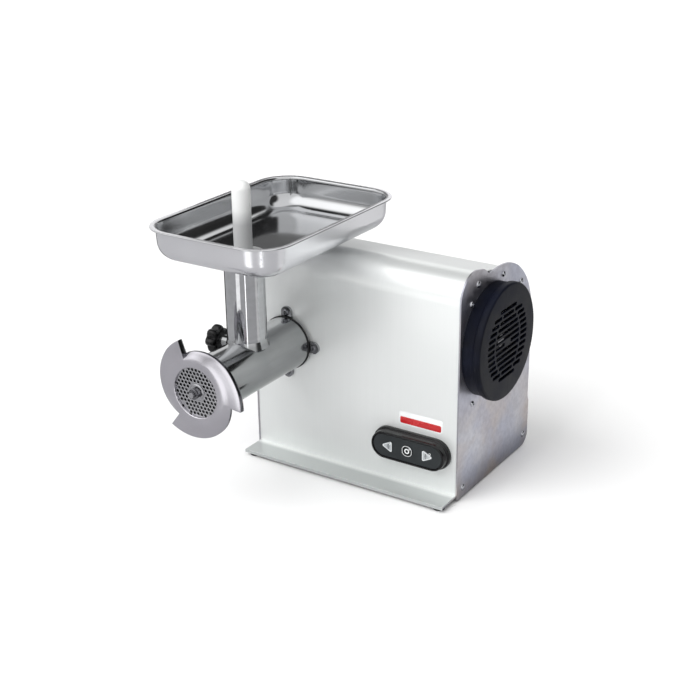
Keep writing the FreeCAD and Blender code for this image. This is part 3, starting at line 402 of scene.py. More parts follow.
def brushed_metal(name, light, dark, gloss, lines):
    """Metal with a drawn grain: the grain and slow drift vary its tone and its gloss."""
    material, nodes, shader, where = new_finish(name, Metallic=1.0)
    grain = nodes.group(GRAIN, Vector=where, Lines=lines, Contrast=1.6)["Grain"]
    drift = nodes.drift(where, 12.0, 1.0)
    marks = nodes.group(MARKS, Vector=where, Size=70.0)["Mask"]
    base = nodes.blend(drift, dark, light)
    shaded = nodes.blend(nodes.remap(grain, 0.2, 0.8, 0.0, 0.35), base, dark)
    nodes.link(shaded, shader["Base Color"])
    mixed = nodes.plus(nodes.times(grain, 0.6), nodes.times(drift, 0.4))
    rough = nodes.plus(nodes.remap(mixed, 0.25, 0.75, *gloss), nodes.times(marks, 0.05))
    nodes.link(rough, shader["Roughness"])
    bump(nodes, shader, grain, 0.00001)
    return material


def turned_metal(name, light, dark, gloss, axis, rings=2500.0, depth=0.000004, wear=None):
    """Metal with ring-shaped tool marks round an axis through a point of the row frame."""
    material, nodes, shader, where = new_finish(name, Metallic=1.0)
    centred = nodes.vector_maths("SUBTRACT", where, tuple(axis))
    marks = nodes.group(TURNING, Vector=centred, Rings=rings)["Marks"]
    drift = nodes.drift(where, 18.0, 1.0)
    base = nodes.blend(drift, dark, light)
    if wear:
        edges = nodes.edges(where, 0.0012, 260.0, 0.7)
        base = nodes.blend(edges, base, wear)
    nodes.link(base, shader["Base Color"])
    mixed = nodes.plus(nodes.times(marks, 0.5), nodes.times(drift, 0.5))
    nodes.link(nodes.remap(mixed, 0.3, 0.7, *gloss), shader["Roughness"])
    bump(nodes, shader, marks, depth)
    return material


def cast_metal(name, light, dark, gloss, grains=900.0, depth=0.0001, wear=None):
    """A cast or blasted skin: pebbled, cloudy and brighter along its edges."""
    material, nodes, shader, where = new_finish(name, Metallic=1.0)
    pebbles = nodes.group(PEBBLE, Vector=where, Grains=grains)["Height"]
    drift = nodes.drift(where, 25.0, 1.3)
    base = nodes.blend(drift, dark, light)
    edges = nodes.edges(where, 0.0015, 200.0, 0.6)
    nodes.link(nodes.blend(edges, base, wear or light),
                         shader["Base Color"])
    nodes.link(nodes.remap(drift, 0.0, 1.0, *gloss), shader["Roughness"])
    bump(nodes, shader, pebbles, depth)
    return material


def moulded_plastic(name, light, dark, gloss, grains=1600.0, depth=0.00005, wear=None, **numbers):
    """Moulded plastic or rubber: pebbled, with slow gloss drift and rubbed edges."""
    material, nodes, shader, where = new_finish(name, **numbers)
    pebbles = nodes.group(PEBBLE, Vector=where, Grains=grains)["Height"]
    drift = nodes.drift(where, 30.0, 1.2)
    marks = nodes.group(MARKS, Vector=where, Size=90.0)["Mask"]
    base = nodes.blend(drift, dark, light)
    if wear:
        edges = nodes.edges(where, 0.001, 300.0, 0.5)
        base = nodes.blend(edges, base, wear)
    nodes.link(base, shader["Base Color"])
    rough = nodes.plus(nodes.remap(drift, 0.0, 1.0, *gloss), nodes.times(marks, 0.06))
    nodes.link(rough, shader["Roughness"])
    bump(nodes, shader, pebbles, depth)
    return material


def passivated_plate():
    """Zinc-passivated steel sheet: a cloudy grey with faint straw and blue bloom."""
    material, nodes, shader, where = new_finish("passivated_sheet", Metallic=1.0)
    grey = nodes.blend(nodes.drift(where, 9.0, 1.2),
                       tone(194, 193, 200), tone(214, 214, 221))
    shifted = nodes.vector_maths("ADD", where, (1.7, 0.4, 0.9))
    straw = nodes.drift(shifted, 11.0, 2.4)
    low = nodes.remap(nodes.axis(where, 2), 0.16, 0.0, 0.0, 1.0)
    straw_amount = nodes.times(straw, nodes.remap(low, 0.0, 1.0, 0.10, 0.55))
    warm = nodes.blend(straw_amount, grey, tone(206, 182, 158))
    blue = nodes.drift(nodes.vector_maths("ADD", where, (4.1, 2.2, 3.3)), 14.0, 2.2)
    bloom = nodes.blend(nodes.times(blue, 0.25), warm, tone(160, 172, 206))
    spots = nodes.drift(where, 160.0, 1.6)
    edges = nodes.edges(where, 0.001, 150.0, 0.5)
    spotted = nodes.blend(nodes.times(spots, 0.12), bloom, tone(140, 138, 146))
    nodes.link(nodes.blend(edges, spotted, tone(215, 218, 226)),
                         shader["Base Color"])
    nodes.link(nodes.remap(spots, 0.0, 1.0, 0.34, 0.46), shader["Roughness"])
    bump(nodes, shader, spots, 0.00002)
    return material


def casing_sheet_finish():
    """Fine satin sheet, brushed up the front and over the top; the foot flange is painted darker, a painted
    shade.
    """
    material, nodes, shader, where = new_finish("satin_casing_sheet", Metallic=0.45)
    fine = nodes.group(GRAIN, Vector=where, Lines=(2600.0, 12.0, 12.0), Contrast=1.5)["Grain"]
    broad = nodes.group(GRAIN, Vector=where, Lines=(240.0, 1.5, 1.5), Contrast=1.2)["Grain"]
    drift = nodes.drift(where, 5.0, 0.8)
    base = nodes.blend(drift, tone(232, 235, 234), tone(241, 243, 242))
    lined = nodes.blend(nodes.remap(fine, 0.3, 0.7, 0.0, 0.06), base, tone(190, 194, 193))
    banded = nodes.blend(nodes.remap(broad, 0.3, 0.7, 0.0, 0.03), lined, tone(190, 194, 193))
    # Painted shade: ahead of the panel the foot flange is blended towards a darker grey, standing in for its
    # darker reflection.
    depth = nodes.axis(where, 1)
    foot = nodes.remap(depth, PANEL_Y - 0.004, PANEL_Y - 0.012, 0.0, 0.75)
    flange_painted_shade = nodes.blend(foot, banded, tone(176, 181, 180))
    # The edge mask brightens the sheet's edges: handling wear, and also a painted highlight along the foot
    # flange's front lip.
    edges = nodes.edges(where, 0.0012, 120.0, 0.6)
    nodes.link(nodes.blend(edges, flange_painted_shade, tone(252, 252, 252)),
                         shader["Base Color"])
    rough = nodes.plus(nodes.remap(fine, 0.2, 0.8, 0.29, 0.33),
                        nodes.remap(drift, 0.0, 1.0, -0.01, 0.01))
    nodes.link(rough, shader["Roughness"])
    bump(nodes, shader, fine, 0.0000015)
    return material


def laminated_finish():
    """Stacked core sheets: thin dark lines across the motor's axis."""
    material, nodes, shader, where = new_finish("core_laminations", Metallic=1.0)
    along = nodes.axis(where, 0)
    sheets = nodes.maths("PINGPONG", nodes.times(along, 1000.0), 0.5)
    drift = nodes.drift(where, 40.0, 1.5)
    blued = nodes.blend(drift, tone(70, 76, 88), tone(96, 98, 104))
    nodes.link(nodes.blend(nodes.remap(sheets, 0.0, 0.12, 0.8, 0.0), blued, tone(25, 24, 24)),
                         shader["Base Color"])
    nodes.link(nodes.remap(drift, 0.0, 1.0, 0.4, 0.6), shader["Roughness"])
    bump(nodes, shader, sheets, 0.0002)
    return material


def winding_finish():
    """Enamelled copper wire laid side by side."""
    material, nodes, shader, where = new_finish("enamelled_wire", Metallic=1.0, Coat_Weight=0.6,
                                                Coat_Roughness=0.15)
    wires = nodes.add("ShaderNodeTexWave", {"Vector": where, "Scale": 260.0, "Distortion": 3.0,
                                            "Detail": 2.0, "Detail Scale": 40.0}).outputs[1]
    drift = nodes.drift(where, 60.0, 1.4)
    copper = nodes.blend(drift, tone(150, 70, 32), tone(190, 100, 52))
    nodes.link(nodes.blend(nodes.remap(wires, 0.0, 0.5, 0.7, 0.0), copper, tone(60, 24, 12)),
                         shader["Base Color"])
    nodes.link(nodes.remap(wires, 0.0, 1.0, 0.5, 0.28), shader["Roughness"])
    bump(nodes, shader, wires, 0.0004)
    return material


def board_finish():
    """Solder-masked board with paler tracks."""
    material, nodes, shader, where = new_finish("solder_mask", Coat_Weight=0.4)
    cells = nodes.add("ShaderNodeTexBrick", {"Vector": where, "Scale": 90.0, "Mortar Size": 0.03,
                                             "Color1": tone(18, 92, 52), "Color2": tone(22, 104, 60),
                                             "Mortar": tone(60, 150, 92)}).outputs[0]
    drift = nodes.drift(where, 80.0, 1.0)
    nodes.link(nodes.blend(nodes.times(drift, 0.3), cells, tone(10, 60, 36)),
                         shader["Base Color"])
    nodes.link(nodes.remap(drift, 0.0, 1.0, 0.25, 0.4), shader["Roughness"])
    bump(nodes, shader, drift, 0.00005)
    return material


def tray_inside_finish():
    """Deep-drawn stainless sheet: bright, with soft draw waves and wiping marks."""
    material, nodes, shader, where = new_finish("tray_bright_inside", Metallic=1.0)
    drift = nodes.drift(where, 7.0, 1.0)
    marks = nodes.group(MARKS, Vector=where, Size=120.0)["Mask"]
    nodes.link(nodes.blend(drift, tone(190, 191, 193), tone(206, 207, 208)), shader["Base Color"])
    wiped = nodes.times(marks, 0.04)
    nodes.link(nodes.plus(nodes.remap(drift, 0.0, 1.0, 0.10, 0.15), wiped),
                         shader["Roughness"])
    waves = nodes.add("ShaderNodeTexNoise", {"Vector": where, "Scale": 14.0, "Detail": 0.0}).outputs[0]
    bump(nodes, shader, waves, 0.0004)
    return material


def tray_outside_finish():
    """The same sheet left satin outside, a little cloudy from handling."""
    material, nodes, shader, where = new_finish("tray_satin_outside", Metallic=0.92)
    drift = nodes.drift(where, 6.0, 0.8)
    clouds = nodes.drift(where, 22.0, 1.0)
    nodes.link(nodes.blend(drift, tone(226, 226, 230), tone(238, 238, 241)), shader["Base Color"])
    nodes.link(nodes.remap(clouds, 0.0, 1.0, 0.20, 0.27), shader["Roughness"])
    return material


def head_steel_finish():
    """Polished neck over a rougher turned barrel whose colour is painted darker, a painted shade; both with
    faint drawn lines and wiping marks.
    """
    material, nodes, shader, where = new_finish("polished_head_steel", Metallic=1.0)
    grain = nodes.group(GRAIN, Vector=where, Lines=(90.0, 9.0, 90.0), Contrast=1.6)["Grain"]
    drift = nodes.drift(where, 12.0, 1.0)
    marks = nodes.group(MARKS, Vector=where, Size=70.0)["Mask"]
    height = nodes.axis(where, 2)
    # Painted shade: below the neck the barrel gets a much darker tone, standing in for its darker reflection;
    # it is also a little rougher.
    barrel = nodes.remap(height, HEAD.z + 0.046, HEAD.z + 0.036, 0.0, 1.0)
    neck_tone = nodes.blend(drift, tone(196, 197, 199), tone(206, 207, 209))
    barrel_shaded_tone = nodes.blend(drift, tone(150, 152, 153), tone(164, 165, 166))
    base = nodes.blend(barrel, neck_tone, barrel_shaded_tone)
    nodes.link(nodes.blend(nodes.remap(grain, 0.2, 0.8, 0.0, 0.2), base, tone(120, 121, 123)),
                         shader["Base Color"])
    shine = nodes.plus(nodes.remap(grain, 0.25, 0.75, 0.04, 0.09), nodes.times(marks, 0.05))
    nodes.link(nodes.plus(shine, nodes.times(barrel, 0.06)), shader["Roughness"])
    bump(nodes, shader, grain, 0.000002)
    return material


def pusher_finish():
    """Milky food-grade plastic, painted greyer towards the foot as a painted shade."""
    painted_shade_starts, painted_shade_full = 0.422, 0.402
    material, nodes, shader, where = new_finish("milky_plastic", Coat_Weight=0.15, Specular_IOR_Level=0.4)
    lathe = nodes.group(GRAIN, Vector=where, Lines=(20.0, 20.0, 1800.0), Contrast=1.3)["Grain"]
    drift = nodes.drift(where, 22.0, 1.0)
    unshaded_milky = nodes.blend(drift, tone(234, 236, 235), tone(241, 242, 241))
    # Painted shade: the lower rod is blended towards grey, standing in for the shade and dark reflections it
    # sits in.
    height = nodes.axis(where, 2)
    foot = nodes.remap(height, painted_shade_starts, painted_shade_full, 0.0, 0.8)
    nodes.link(nodes.blend(foot, unshaded_milky, tone(180, 181, 182)), shader["Base Color"])
    nodes.link(nodes.remap(lathe, 0.2, 0.8, 0.36, 0.5), shader["Roughness"])
    bump(nodes, shader, lathe, 0.00002)
    return material


PLATE = passivated_plate()
CASING = casing_sheet_finish()
POLISHED = head_steel_finish()
FLANGE_STEEL = brushed_metal("flange_steel", tone(160, 161, 163), tone(138, 139, 142), (0.10, 0.20),
                             (60.0, 60.0, 60.0))
NUT_STEEL = turned_metal("nut_satin_steel", tone(214, 212, 218), tone(198, 196, 202), (0.17, 0.24), HEAD,
                         rings=1800.0, depth=0.000003)
# A darker copy of the nut steel: on the nut's outer rim sides it is painted shade for their darker
# reflection; the auger collar wears it as dark steel.
DARK_STEEL_AND_RIM_SHADE = turned_metal("nut_edge_steel", tone(112, 112, 116), tone(84, 84, 88), (0.12, 0.2), HEAD,
                              rings=1800.0, depth=0.000003, wear=tone(220, 220, 224))
SATIN_STEEL = turned_metal("turned_satin_steel", tone(200, 200, 202), tone(176, 176, 180), (0.2, 0.32), HEAD)
BARE_STEEL = brushed_metal("machined_steel", tone(196, 196, 198), tone(172, 172, 175), (0.22, 0.36),
                           (600.0, 30.0, 600.0))
SCREW_STEEL = cast_metal("zinc_screw_steel", tone(206, 208, 212), tone(182, 184, 190), (0.16, 0.26),
                         grains=2400.0, depth=0.00001, wear=tone(235, 236, 240))
DARK_SCREW_STEEL = cast_metal("dark_screw_steel", tone(120, 121, 124), tone(92, 93, 97), (0.18, 0.28),
                              grains=2400.0, depth=0.00001, wear=tone(200, 201, 205))
RUBBER = moulded_plastic("foot_rubber", tone(30, 30, 31), tone(20, 20, 21), (0.6, 0.8), grains=900.0,
                         depth=0.0001)
CAST = cast_metal("cast_aluminium", tone(176, 178, 180), tone(150, 152, 155), (0.42, 0.58))
BRONZE = cast_metal("gear_bronze_metal", tone(200, 156, 88), tone(172, 130, 70), (0.26, 0.38), grains=1600.0,
                    depth=0.00003, wear=tone(224, 184, 116))
CAP_PLASTIC = moulded_plastic("cap_plastic", tone(14, 18, 33), tone(8, 10, 20), (0.42, 0.52), grains=2200.0,
                              depth=0.00003, wear=tone(30, 34, 46), Specular_IOR_Level=0.15)
GLOSS_PLASTIC = moulded_plastic("gloss_black_plastic", tone(12, 12, 13), tone(7, 7, 8), (0.16, 0.24),
                                grains=700.0, depth=0.00001, wear=tone(38, 40, 42), Specular_IOR_Level=0.4)
DARK_PLASTIC = moulded_plastic("inner_black_plastic", tone(34, 34, 35), tone(22, 22, 23), (0.45, 0.6))
SLATE = moulded_plastic("slate_keypad_film", tone(44, 48, 50), tone(37, 41, 43), (0.40, 0.48), grains=2600.0,
                        depth=0.00002, Specular_IOR_Level=0.3)
KEY_FILM = moulded_plastic("key_film", tone(16, 18, 19), tone(11, 13, 14), (0.34, 0.42), grains=2600.0,
                           depth=0.00002, Specular_IOR_Level=0.3)
KEY_PALE = moulded_plastic("key_pale_print", tone(178, 182, 184), tone(160, 165, 168), (0.4, 0.5),
                           grains=2600.0, depth=0.00001)
WHITE_PRINT = moulded_plastic("white_print", tone(238, 240, 241), tone(226, 229, 230), (0.4, 0.5),
                              grains=2600.0, depth=0.00001)
RED_ENAMEL = moulded_plastic("red_enamel", tone(196, 32, 36), tone(180, 26, 30), (0.22, 0.3), grains=1200.0,
                             depth=0.00001, Coat_Weight=0.5)
TRAY_INSIDE = tray_inside_finish()
TRAY_OUTSIDE = tray_outside_finish()
MILKY = pusher_finish()

FINISHES = {
    "satin_sheet": CASING, "galvanised_plate": PLATE, "bare_steel": BARE_STEEL, "screw_steel": SCREW_STEEL,
    "black_rubber": RUBBER, "cast_alloy": CAST, "laminations": laminated_finish(),
    "winding": winding_finish(), "black_plastic": DARK_PLASTIC, "gear_bronze": BRONZE,
    "board_green": board_finish(), "polished_steel": POLISHED, "satin_steel": SATIN_STEEL,
    "bright_tray": TRAY_INSIDE, "white_plastic": MILKY, "keypad_grey": SLATE, "key_print": KEY_PALE,
    "badge_red": RED_ENAMEL,
}
NODE_FINISHES = {"mounting_flange": FLANGE_STEEL, "stop_button": KEY_FILM}
for node_name, node_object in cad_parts.items():
    for material_slot in node_object.material_slots:
        kept_finish = FINISHES[material_slot.material.name.split(".")[0]]
        material_slot.material = NODE_FINISHES.get(node_name, kept_finish)


# ---------------------------------------------------------------- geometry node trees

def grown(piece, tree, **values):
    """Run a geometry tree on a piece, with its named inputs set, and keep the plain mesh."""
    modifier = piece.modifiers.new(tree.name, "NODES")
    modifier.node_group = tree
    for item in tree.interface.items_tree:
        key = item.name.replace(" ", "_")
        if item.item_type == "SOCKET" and item.in_out == "INPUT" and key in values:
            modifier[item.identifier] = values[key]
    return settled(piece)


def screw_tree():
    """Domed screws with a hexagon socket, one at each point, facing along its attribute."""
    tree, nodes, given, out = new_tree(
        "domed_screws", "GeometryNodeTree",
        [("Geometry", "Geometry", None), ("Head Radius", "Float", 5.2), ("Head Height", "Float", 2.8),
         ("Socket Radius", "Float", 1.9), ("Shank Radius", "Float", 3.0), ("Shank Length", "Float", 8.0),
         ("Finish", "Material", None)],
        [("Geometry", "Geometry")])
    ball = nodes.add("GeometryNodeMeshUVSphere", {"Segments": 28, "Rings": 14, "Radius": 1.0}).outputs[0]
    size = nodes.add("ShaderNodeCombineXYZ", {0: given["Head Radius"], 1: given["Head Radius"],
                                              2: given["Head Height"]}).outputs[0]
    dome = nodes.add("GeometryNodeTransform", {"Geometry": ball, "Scale": size}).outputs[0]
    hexagon = nodes.add("GeometryNodeMeshCylinder", {"Vertices": 6, "Radius": given["Socket Radius"],
                                                     "Depth": given["Head Height"]}).outputs[0]
    lift = nodes.add("ShaderNodeCombineXYZ", {2: given["Head Height"]}).outputs[0]
    socket = nodes.add("GeometryNodeTransform", {"Geometry": hexagon, "Translation": lift}).outputs[0]
    head = nodes.add("GeometryNodeMeshBoolean", {"Mesh 1": dome, "Mesh 2": socket},
                     operation="DIFFERENCE", solver="EXACT").outputs[0]
    rod = nodes.add("GeometryNodeMeshCylinder", {"Vertices": 16, "Radius": given["Shank Radius"],
                                                 "Depth": given["Shank Length"]}).outputs[0]
    sunk = nodes.times(given["Shank Length"], -0.5)
    drop = nodes.add("ShaderNodeCombineXYZ", {2: sunk}).outputs[0]
    shank = nodes.add("GeometryNodeTransform", {"Geometry": rod, "Translation": drop}).outputs[0]
    screw = nodes.add("GeometryNodeJoinGeometry", {"Geometry": [head, shank]}).outputs[0]
    facing = nodes.add("GeometryNodeInputNamedAttribute", {"Name": "facing"},
                       data_type="FLOAT_VECTOR").outputs[0]
    turn = nodes.add("FunctionNodeAlignRotationToVector", {"Vector": facing}, axis="Z").outputs[0]
    placed = nodes.add("GeometryNodeInstanceOnPoints", {"Points": given["Geometry"], "Instance": screw,
                                                        "Rotation": turn, "Scale": (MM, MM, MM)}).outputs[0]
    nodes.end_geometry(placed, given["Finish"], out["Geometry"])
    return tree


def perforation_tree():
    """Close-packed round holes with a flared rim, cut through a disc between two radii."""
    tree, nodes, given, out = new_tree(
        "perforations", "GeometryNodeTree",
        [("Geometry", "Geometry", None), ("Hole Radius", "Float", 2.25), ("Pitch", "Float", 6.3),
         ("Inner Limit", "Float", 14.5), ("Outer Limit", "Float", 35.2), ("Top", "Float", 8.0),
         ("Flare", "Float", 0.25), ("Key Place", "Vector", (0, 0, 0)), ("Key Room", "Float", 7.0),
         ("Finish", "Material", None)],
        [("Geometry", "Geometry")])
    across = nodes.times(given["Pitch"], 14.0)
    row_gap = nodes.times(given["Pitch"], math.sqrt(3) / 2)
    down = nodes.times(row_gap, 14.0)
    net = nodes.add("GeometryNodeMeshGrid", {"Size X": across, "Size Y": down,
                                             "Vertices X": 15, "Vertices Y": 15}).outputs[0]
    place = nodes.add("GeometryNodeInputPosition").outputs[0]
    parts = nodes.add("ShaderNodeSeparateXYZ", {0: place}).outputs
    row = nodes.maths("ROUND", nodes.maths("DIVIDE", parts[1], row_gap))
    odd = nodes.maths("FLOORED_MODULO", row, 2.0)
    half_step = nodes.times(odd, nodes.times(given["Pitch"], 0.5))
    shift = nodes.add("ShaderNodeCombineXYZ", {0: half_step}).outputs[0]
    packed = nodes.add("GeometryNodeSetPosition", {"Geometry": net, "Offset": shift}).outputs[0]
    radius = nodes.add("ShaderNodeVectorMath", {0: place}, operation="LENGTH").outputs["Value"]
    inside = nodes.maths("LESS_THAN", radius, given["Inner Limit"])
    outside = nodes.maths("GREATER_THAN", radius, given["Outer Limit"])
    to_key = nodes.add("ShaderNodeVectorMath", {0: place, 1: given["Key Place"]},
                       operation="DISTANCE").outputs["Value"]
    by_key = nodes.maths("LESS_THAN", to_key, given["Key Room"])
    unwanted = nodes.plus(nodes.plus(inside, outside), by_key)
    field = nodes.add("GeometryNodeDeleteGeometry", {"Geometry": packed, "Selection": unwanted},
                      domain="POINT").outputs[0]
    points = nodes.add("GeometryNodeMeshToPoints", {"Mesh": field}).outputs[0]
    drill = nodes.add("GeometryNodeMeshCylinder", {"Vertices": 18, "Radius": given["Hole Radius"],
                                                   "Depth": 40.0}).outputs[0]
    flare_width = nodes.times(given["Flare"], 2.0)
    reamer = nodes.add("GeometryNodeMeshCone", {
        "Vertices": 18, "Radius Top": nodes.plus(given["Hole Radius"], flare_width),
        "Radius Bottom": given["Hole Radius"], "Depth": flare_width}).outputs[0]
    raise_by = nodes.add("ShaderNodeCombineXYZ", {2: nodes.maths("SUBTRACT", given["Top"],
                                                                 given["Flare"])}).outputs[0]
    raised = nodes.add("GeometryNodeTransform", {"Geometry": reamer, "Translation": raise_by}).outputs[0]
    cuts = []
    for tool in (drill, raised):
        placed = nodes.add("GeometryNodeInstanceOnPoints", {"Points": points, "Instance": tool}).outputs[0]
        cuts.append(nodes.add("GeometryNodeRealizeInstances", {"Geometry": placed}).outputs[0])
    pierced = nodes.add("GeometryNodeMeshBoolean", {"Mesh 1": given["Geometry"], "Mesh 2": cuts},
                        operation="DIFFERENCE", solver="EXACT").outputs[0]
    nodes.end_geometry(pierced, given["Finish"], out["Geometry"])
    return tree


def grille_tree():
    """Round-ended slots with a flared rim, one along each edge of a pattern mesh."""
    tree, nodes, given, out = new_tree(
        "grille_slots", "GeometryNodeTree",
        [("Geometry", "Geometry", None), ("Pattern", "Object", None), ("Slot Width", "Float", 5.0),
         ("Flare", "Float", 0.4), ("Top", "Float", 29.0), ("Finish", "Material", None)],
        [("Geometry", "Geometry")])
    lines = nodes.add("GeometryNodeObjectInfo", {"Object": given["Pattern"]}).outputs["Geometry"]
    ends = nodes.add("GeometryNodeInputMeshEdgeVertices").outputs
    length = nodes.add("ShaderNodeVectorMath", {0: ends["Position 1"], 1: ends["Position 2"]},
                       operation="DISTANCE").outputs["Value"]
    kept = nodes.add("GeometryNodeCaptureAttribute", domain="EDGE")
    kept.capture_items.new("FLOAT", "Length")
    nodes.link(lines, kept.inputs["Geometry"])
    nodes.link(length, kept.inputs["Length"])
    centres = nodes.add("GeometryNodeMeshToPoints", {"Mesh": kept.outputs["Geometry"]},
                        mode="EDGES").outputs[0]
    tips = nodes.add("GeometryNodeMeshToPoints", {"Mesh": lines}, mode="VERTICES").outputs[0]
    stretch = nodes.add("ShaderNodeCombineXYZ", {0: kept.outputs["Length"], 1: 1.0, 2: 1.0}).outputs[0]
    half_width = nodes.times(given["Slot Width"], 0.5)
    rim = nodes.times(given["Flare"], 2.0)
    box_size = nodes.add("ShaderNodeCombineXYZ", {0: 1.0, 1: given["Slot Width"], 2: 24.0}).outputs[0]
    bar = nodes.add("GeometryNodeMeshCube", {"Size": box_size}).outputs[0]
    rim_size = nodes.add("ShaderNodeCombineXYZ", {0: 1.0, 1: given["Slot Width"], 2: rim}).outputs[0]
    block = nodes.add("GeometryNodeMeshCube", {"Size": rim_size}).outputs[0]
    place = nodes.add("ShaderNodeSeparateXYZ", {0: nodes.add("GeometryNodeInputPosition").outputs[0]}).outputs
    spread = nodes.times(nodes.maths("SIGN", place[1]), rim)
    widen = nodes.times(spread, nodes.maths("GREATER_THAN", place[2], 0.0))
    offset = nodes.add("ShaderNodeCombineXYZ", {1: widen}).outputs[0]
    wedge = nodes.add("GeometryNodeSetPosition", {"Geometry": block, "Offset": offset}).outputs[0]
    end_mill = nodes.add("GeometryNodeMeshCylinder", {"Vertices": 20, "Radius": half_width,
                                                      "Depth": 24.0}).outputs[0]
    reamer = nodes.add("GeometryNodeMeshCone", {"Vertices": 20, "Radius Bottom": half_width,
                                                "Radius Top": nodes.plus(half_width, rim),
                                                "Depth": rim}).outputs[0]
    level = nodes.add("ShaderNodeCombineXYZ", {2: given["Top"]}).outputs[0]
    below = nodes.add("ShaderNodeCombineXYZ", {2: nodes.maths("SUBTRACT", given["Top"],
                                                              given["Flare"])}).outputs[0]
    cuts = []
    for points, tool, height, scale in ((centres, bar, level, stretch), (tips, end_mill, level, None),
                                        (centres, wedge, level, stretch), (tips, reamer, below, None)):
        lifted = nodes.add("GeometryNodeTransform", {"Geometry": tool, "Translation": height}).outputs[0]
        inputs = {"Points": points, "Instance": lifted}
        if scale is not None:
            inputs["Scale"] = scale
        placed = nodes.add("GeometryNodeInstanceOnPoints", inputs).outputs[0]
        cuts.append(nodes.add("GeometryNodeRealizeInstances", {"Geometry": placed}).outputs[0])
    cut = nodes.add("GeometryNodeMeshBoolean", {"Mesh 1": given["Geometry"], "Mesh 2": cuts},
                    operation="DIFFERENCE", solver="EXACT").outputs[0]
    nodes.end_geometry(cut, given["Finish"], out["Geometry"])
    return tree


SCREWS = screw_tree()
PERFORATIONS = perforation_tree()
GRILLE = grille_tree()


# ---------------------------------------------------------------- screws

def screw_set(name, node, points, facing, shank_length, head, socket, finish):
    """Screws at points of the row frame, all pointing one way, in place of a CAD node."""
    mesh = bpy.data.meshes.new(name)
    mesh.from_pydata(points, [], [])
    direction = mesh.attributes.new("facing", "FLOAT_VECTOR", "POINT")
    for index, way in enumerate(facing):
        direction.data[index].vector = way
    piece = in_scene(name, mesh)
    grown(piece, SCREWS, Shank_Length=shank_length, Head_Radius=head, Socket_Radius=socket, Finish=finish)
    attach(piece, "root")
    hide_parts(node)


def row_points(node_low_corner, pairs, x):
    """Points on an end plate from (depth, height) pairs in millimetres."""
    return [(x, node_low_corner.y + (depth + 1) * MM, height * MM) for depth, height in pairs]


PLATE_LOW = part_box("right_end_plate")[0]
LEFT_PLATE_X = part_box("left_end_plate")[0].x
TIE_POINTS = ((48, 321), (185, 284), (16, 17.5), (213, 21))
COVER_POINTS = ((29.5, 297), (125.5, 313), (39, 142), (150, 156))
EAR_CIRCLE = 48 * MM


def all_screws():
    left = row_points(PLATE_LOW, TIE_POINTS, LEFT_PLATE_X)
    right = row_points(PLATE_LOW, TIE_POINTS, END_PLATE_X)
    screw_set("casing_screws", "end_plate_screws", left + right,
              [(-1, 0, 0)] * 4 + [(1, 0, 0)] * 4, 12.0, 5.2, 2.1, SCREW_STEEL)
    screw_set("cover_screws", "fan_cover_screws", row_points(PLATE_LOW, COVER_POINTS, END_PLATE_X),
              [(1, 0, 0)] * 4, 8.0, 4.4, 1.9, SCREW_STEEL)
    ear_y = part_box("mounting_flange")[0].y
    ears = [(HEAD.x + x * EAR_CIRCLE, ear_y, HEAD.z + z * EAR_CIRCLE)
            for x, z in ((1, 0), (0, 1), (-1, 0), (0, -1))]
    screw_set("ear_screws", "head_screws", ears, [(0, -1, 0)] * 4, 14.0, 5.4, 3.1, DARK_SCREW_STEEL)


# ---------------------------------------------------------------- mincing head pieces

NUT_TIP_ANGLE = 111
NUT_LOBES = 3
NUT_STEPS = 36


def nut_section(share):
    """The nut's section as (radius, distance ahead), for a share of the way to a lobe's tip."""
    rim = 56.2 + 20.6 * share ** 0.9
    front = 214.6 + 4.9 * share
    knee = 50.5
    knee_front = 221.4 - 0.3 * (1 - share)
    slope_x, slope_y = rim - knee, front - knee_front
    face = [(knee + slope_x * part, knee_front + slope_y * part) for part in (0.33, 0.66, 0.97)]
    return [(45.4, 218.4), (37.0, 218.4), (37.0, 221.2), (37.8, 222.0), (48.6, 222.0), (knee, knee_front),
            *face, (rim, front - 1.0), (rim, 212.0), (rim - 1.0, 211.0), (49.5, 211.0), (49.5, 200.8),
            (48.7, 200.0), (46.0, 200.0), (45.4, 200.6)]


def lobed_nut():
    """Three lobes, each widening and rising clockwise to its tip, then stepping down."""
    stations = []
    for lobe in range(NUT_LOBES):
        tip = NUT_TIP_ANGLE - 120 * lobe
        for step in range(NUT_STEPS + 1):
            share = 1 - step / NUT_STEPS
            angle = math.radians(tip + 120 * (1 - share))
            stations.append([(radius * math.cos(angle), radius * math.sin(angle), ahead)
                             for radius, ahead in nut_section(share)])
    order = [station for lobe in (0, 2, 1) for station in stations[lobe * (NUT_STEPS + 1):
                                                                   (lobe + 1) * (NUT_STEPS + 1)]]
    nut = skin("lobed_ring_nut", order, AHEAD, joined=True)
    settled(bevelled(nut, 1.1, segments=3, sharp=38), sharp=40)
    dressed(nut, NUT_STEEL, DARK_STEEL_AND_RIM_SHADE)
    # Painted shade: the outer rim sides take the darker copy of the nut steel.
    for face in nut.data.polygons:
        reach = math.hypot(face.center.x - HEAD.x, face.center.z - HEAD.z)
        face.material_index = int(abs(face.normal.y) < 0.25 and reach > 51 * MM)
    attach(nut, "nut")
    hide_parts("ring_nut")


def head_seal():
    """A black ring drawn as a seal between the barrel and its mounting flange: a dark piece standing in for
    the shadow in the gap there.
    """
    profile = [(38.0, 4.05), (41.5, 4.05), (41.9, 4.5), (41.9, 6.3), (41.5, 6.7), (38.0, 6.7)]
    seal = turned("head_seal", profile, AHEAD)
    dressed(settled(seal), RUBBER)
    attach(seal, "root")


def auger_collar():
    """The dark collar on the auger's front stub, in front of the plate's hub."""
    profile = [(5.0, 222.3), (7.4, 222.3), (7.8, 222.7), (7.8, 226.2), (7.2, 226.9), (5.0, 226.9)]
    collar = turned("auger_collar", profile, AHEAD, steps=48)
    dressed(settled(collar), DARK_STEEL_AND_RIM_SHADE)
    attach(collar, "auger")


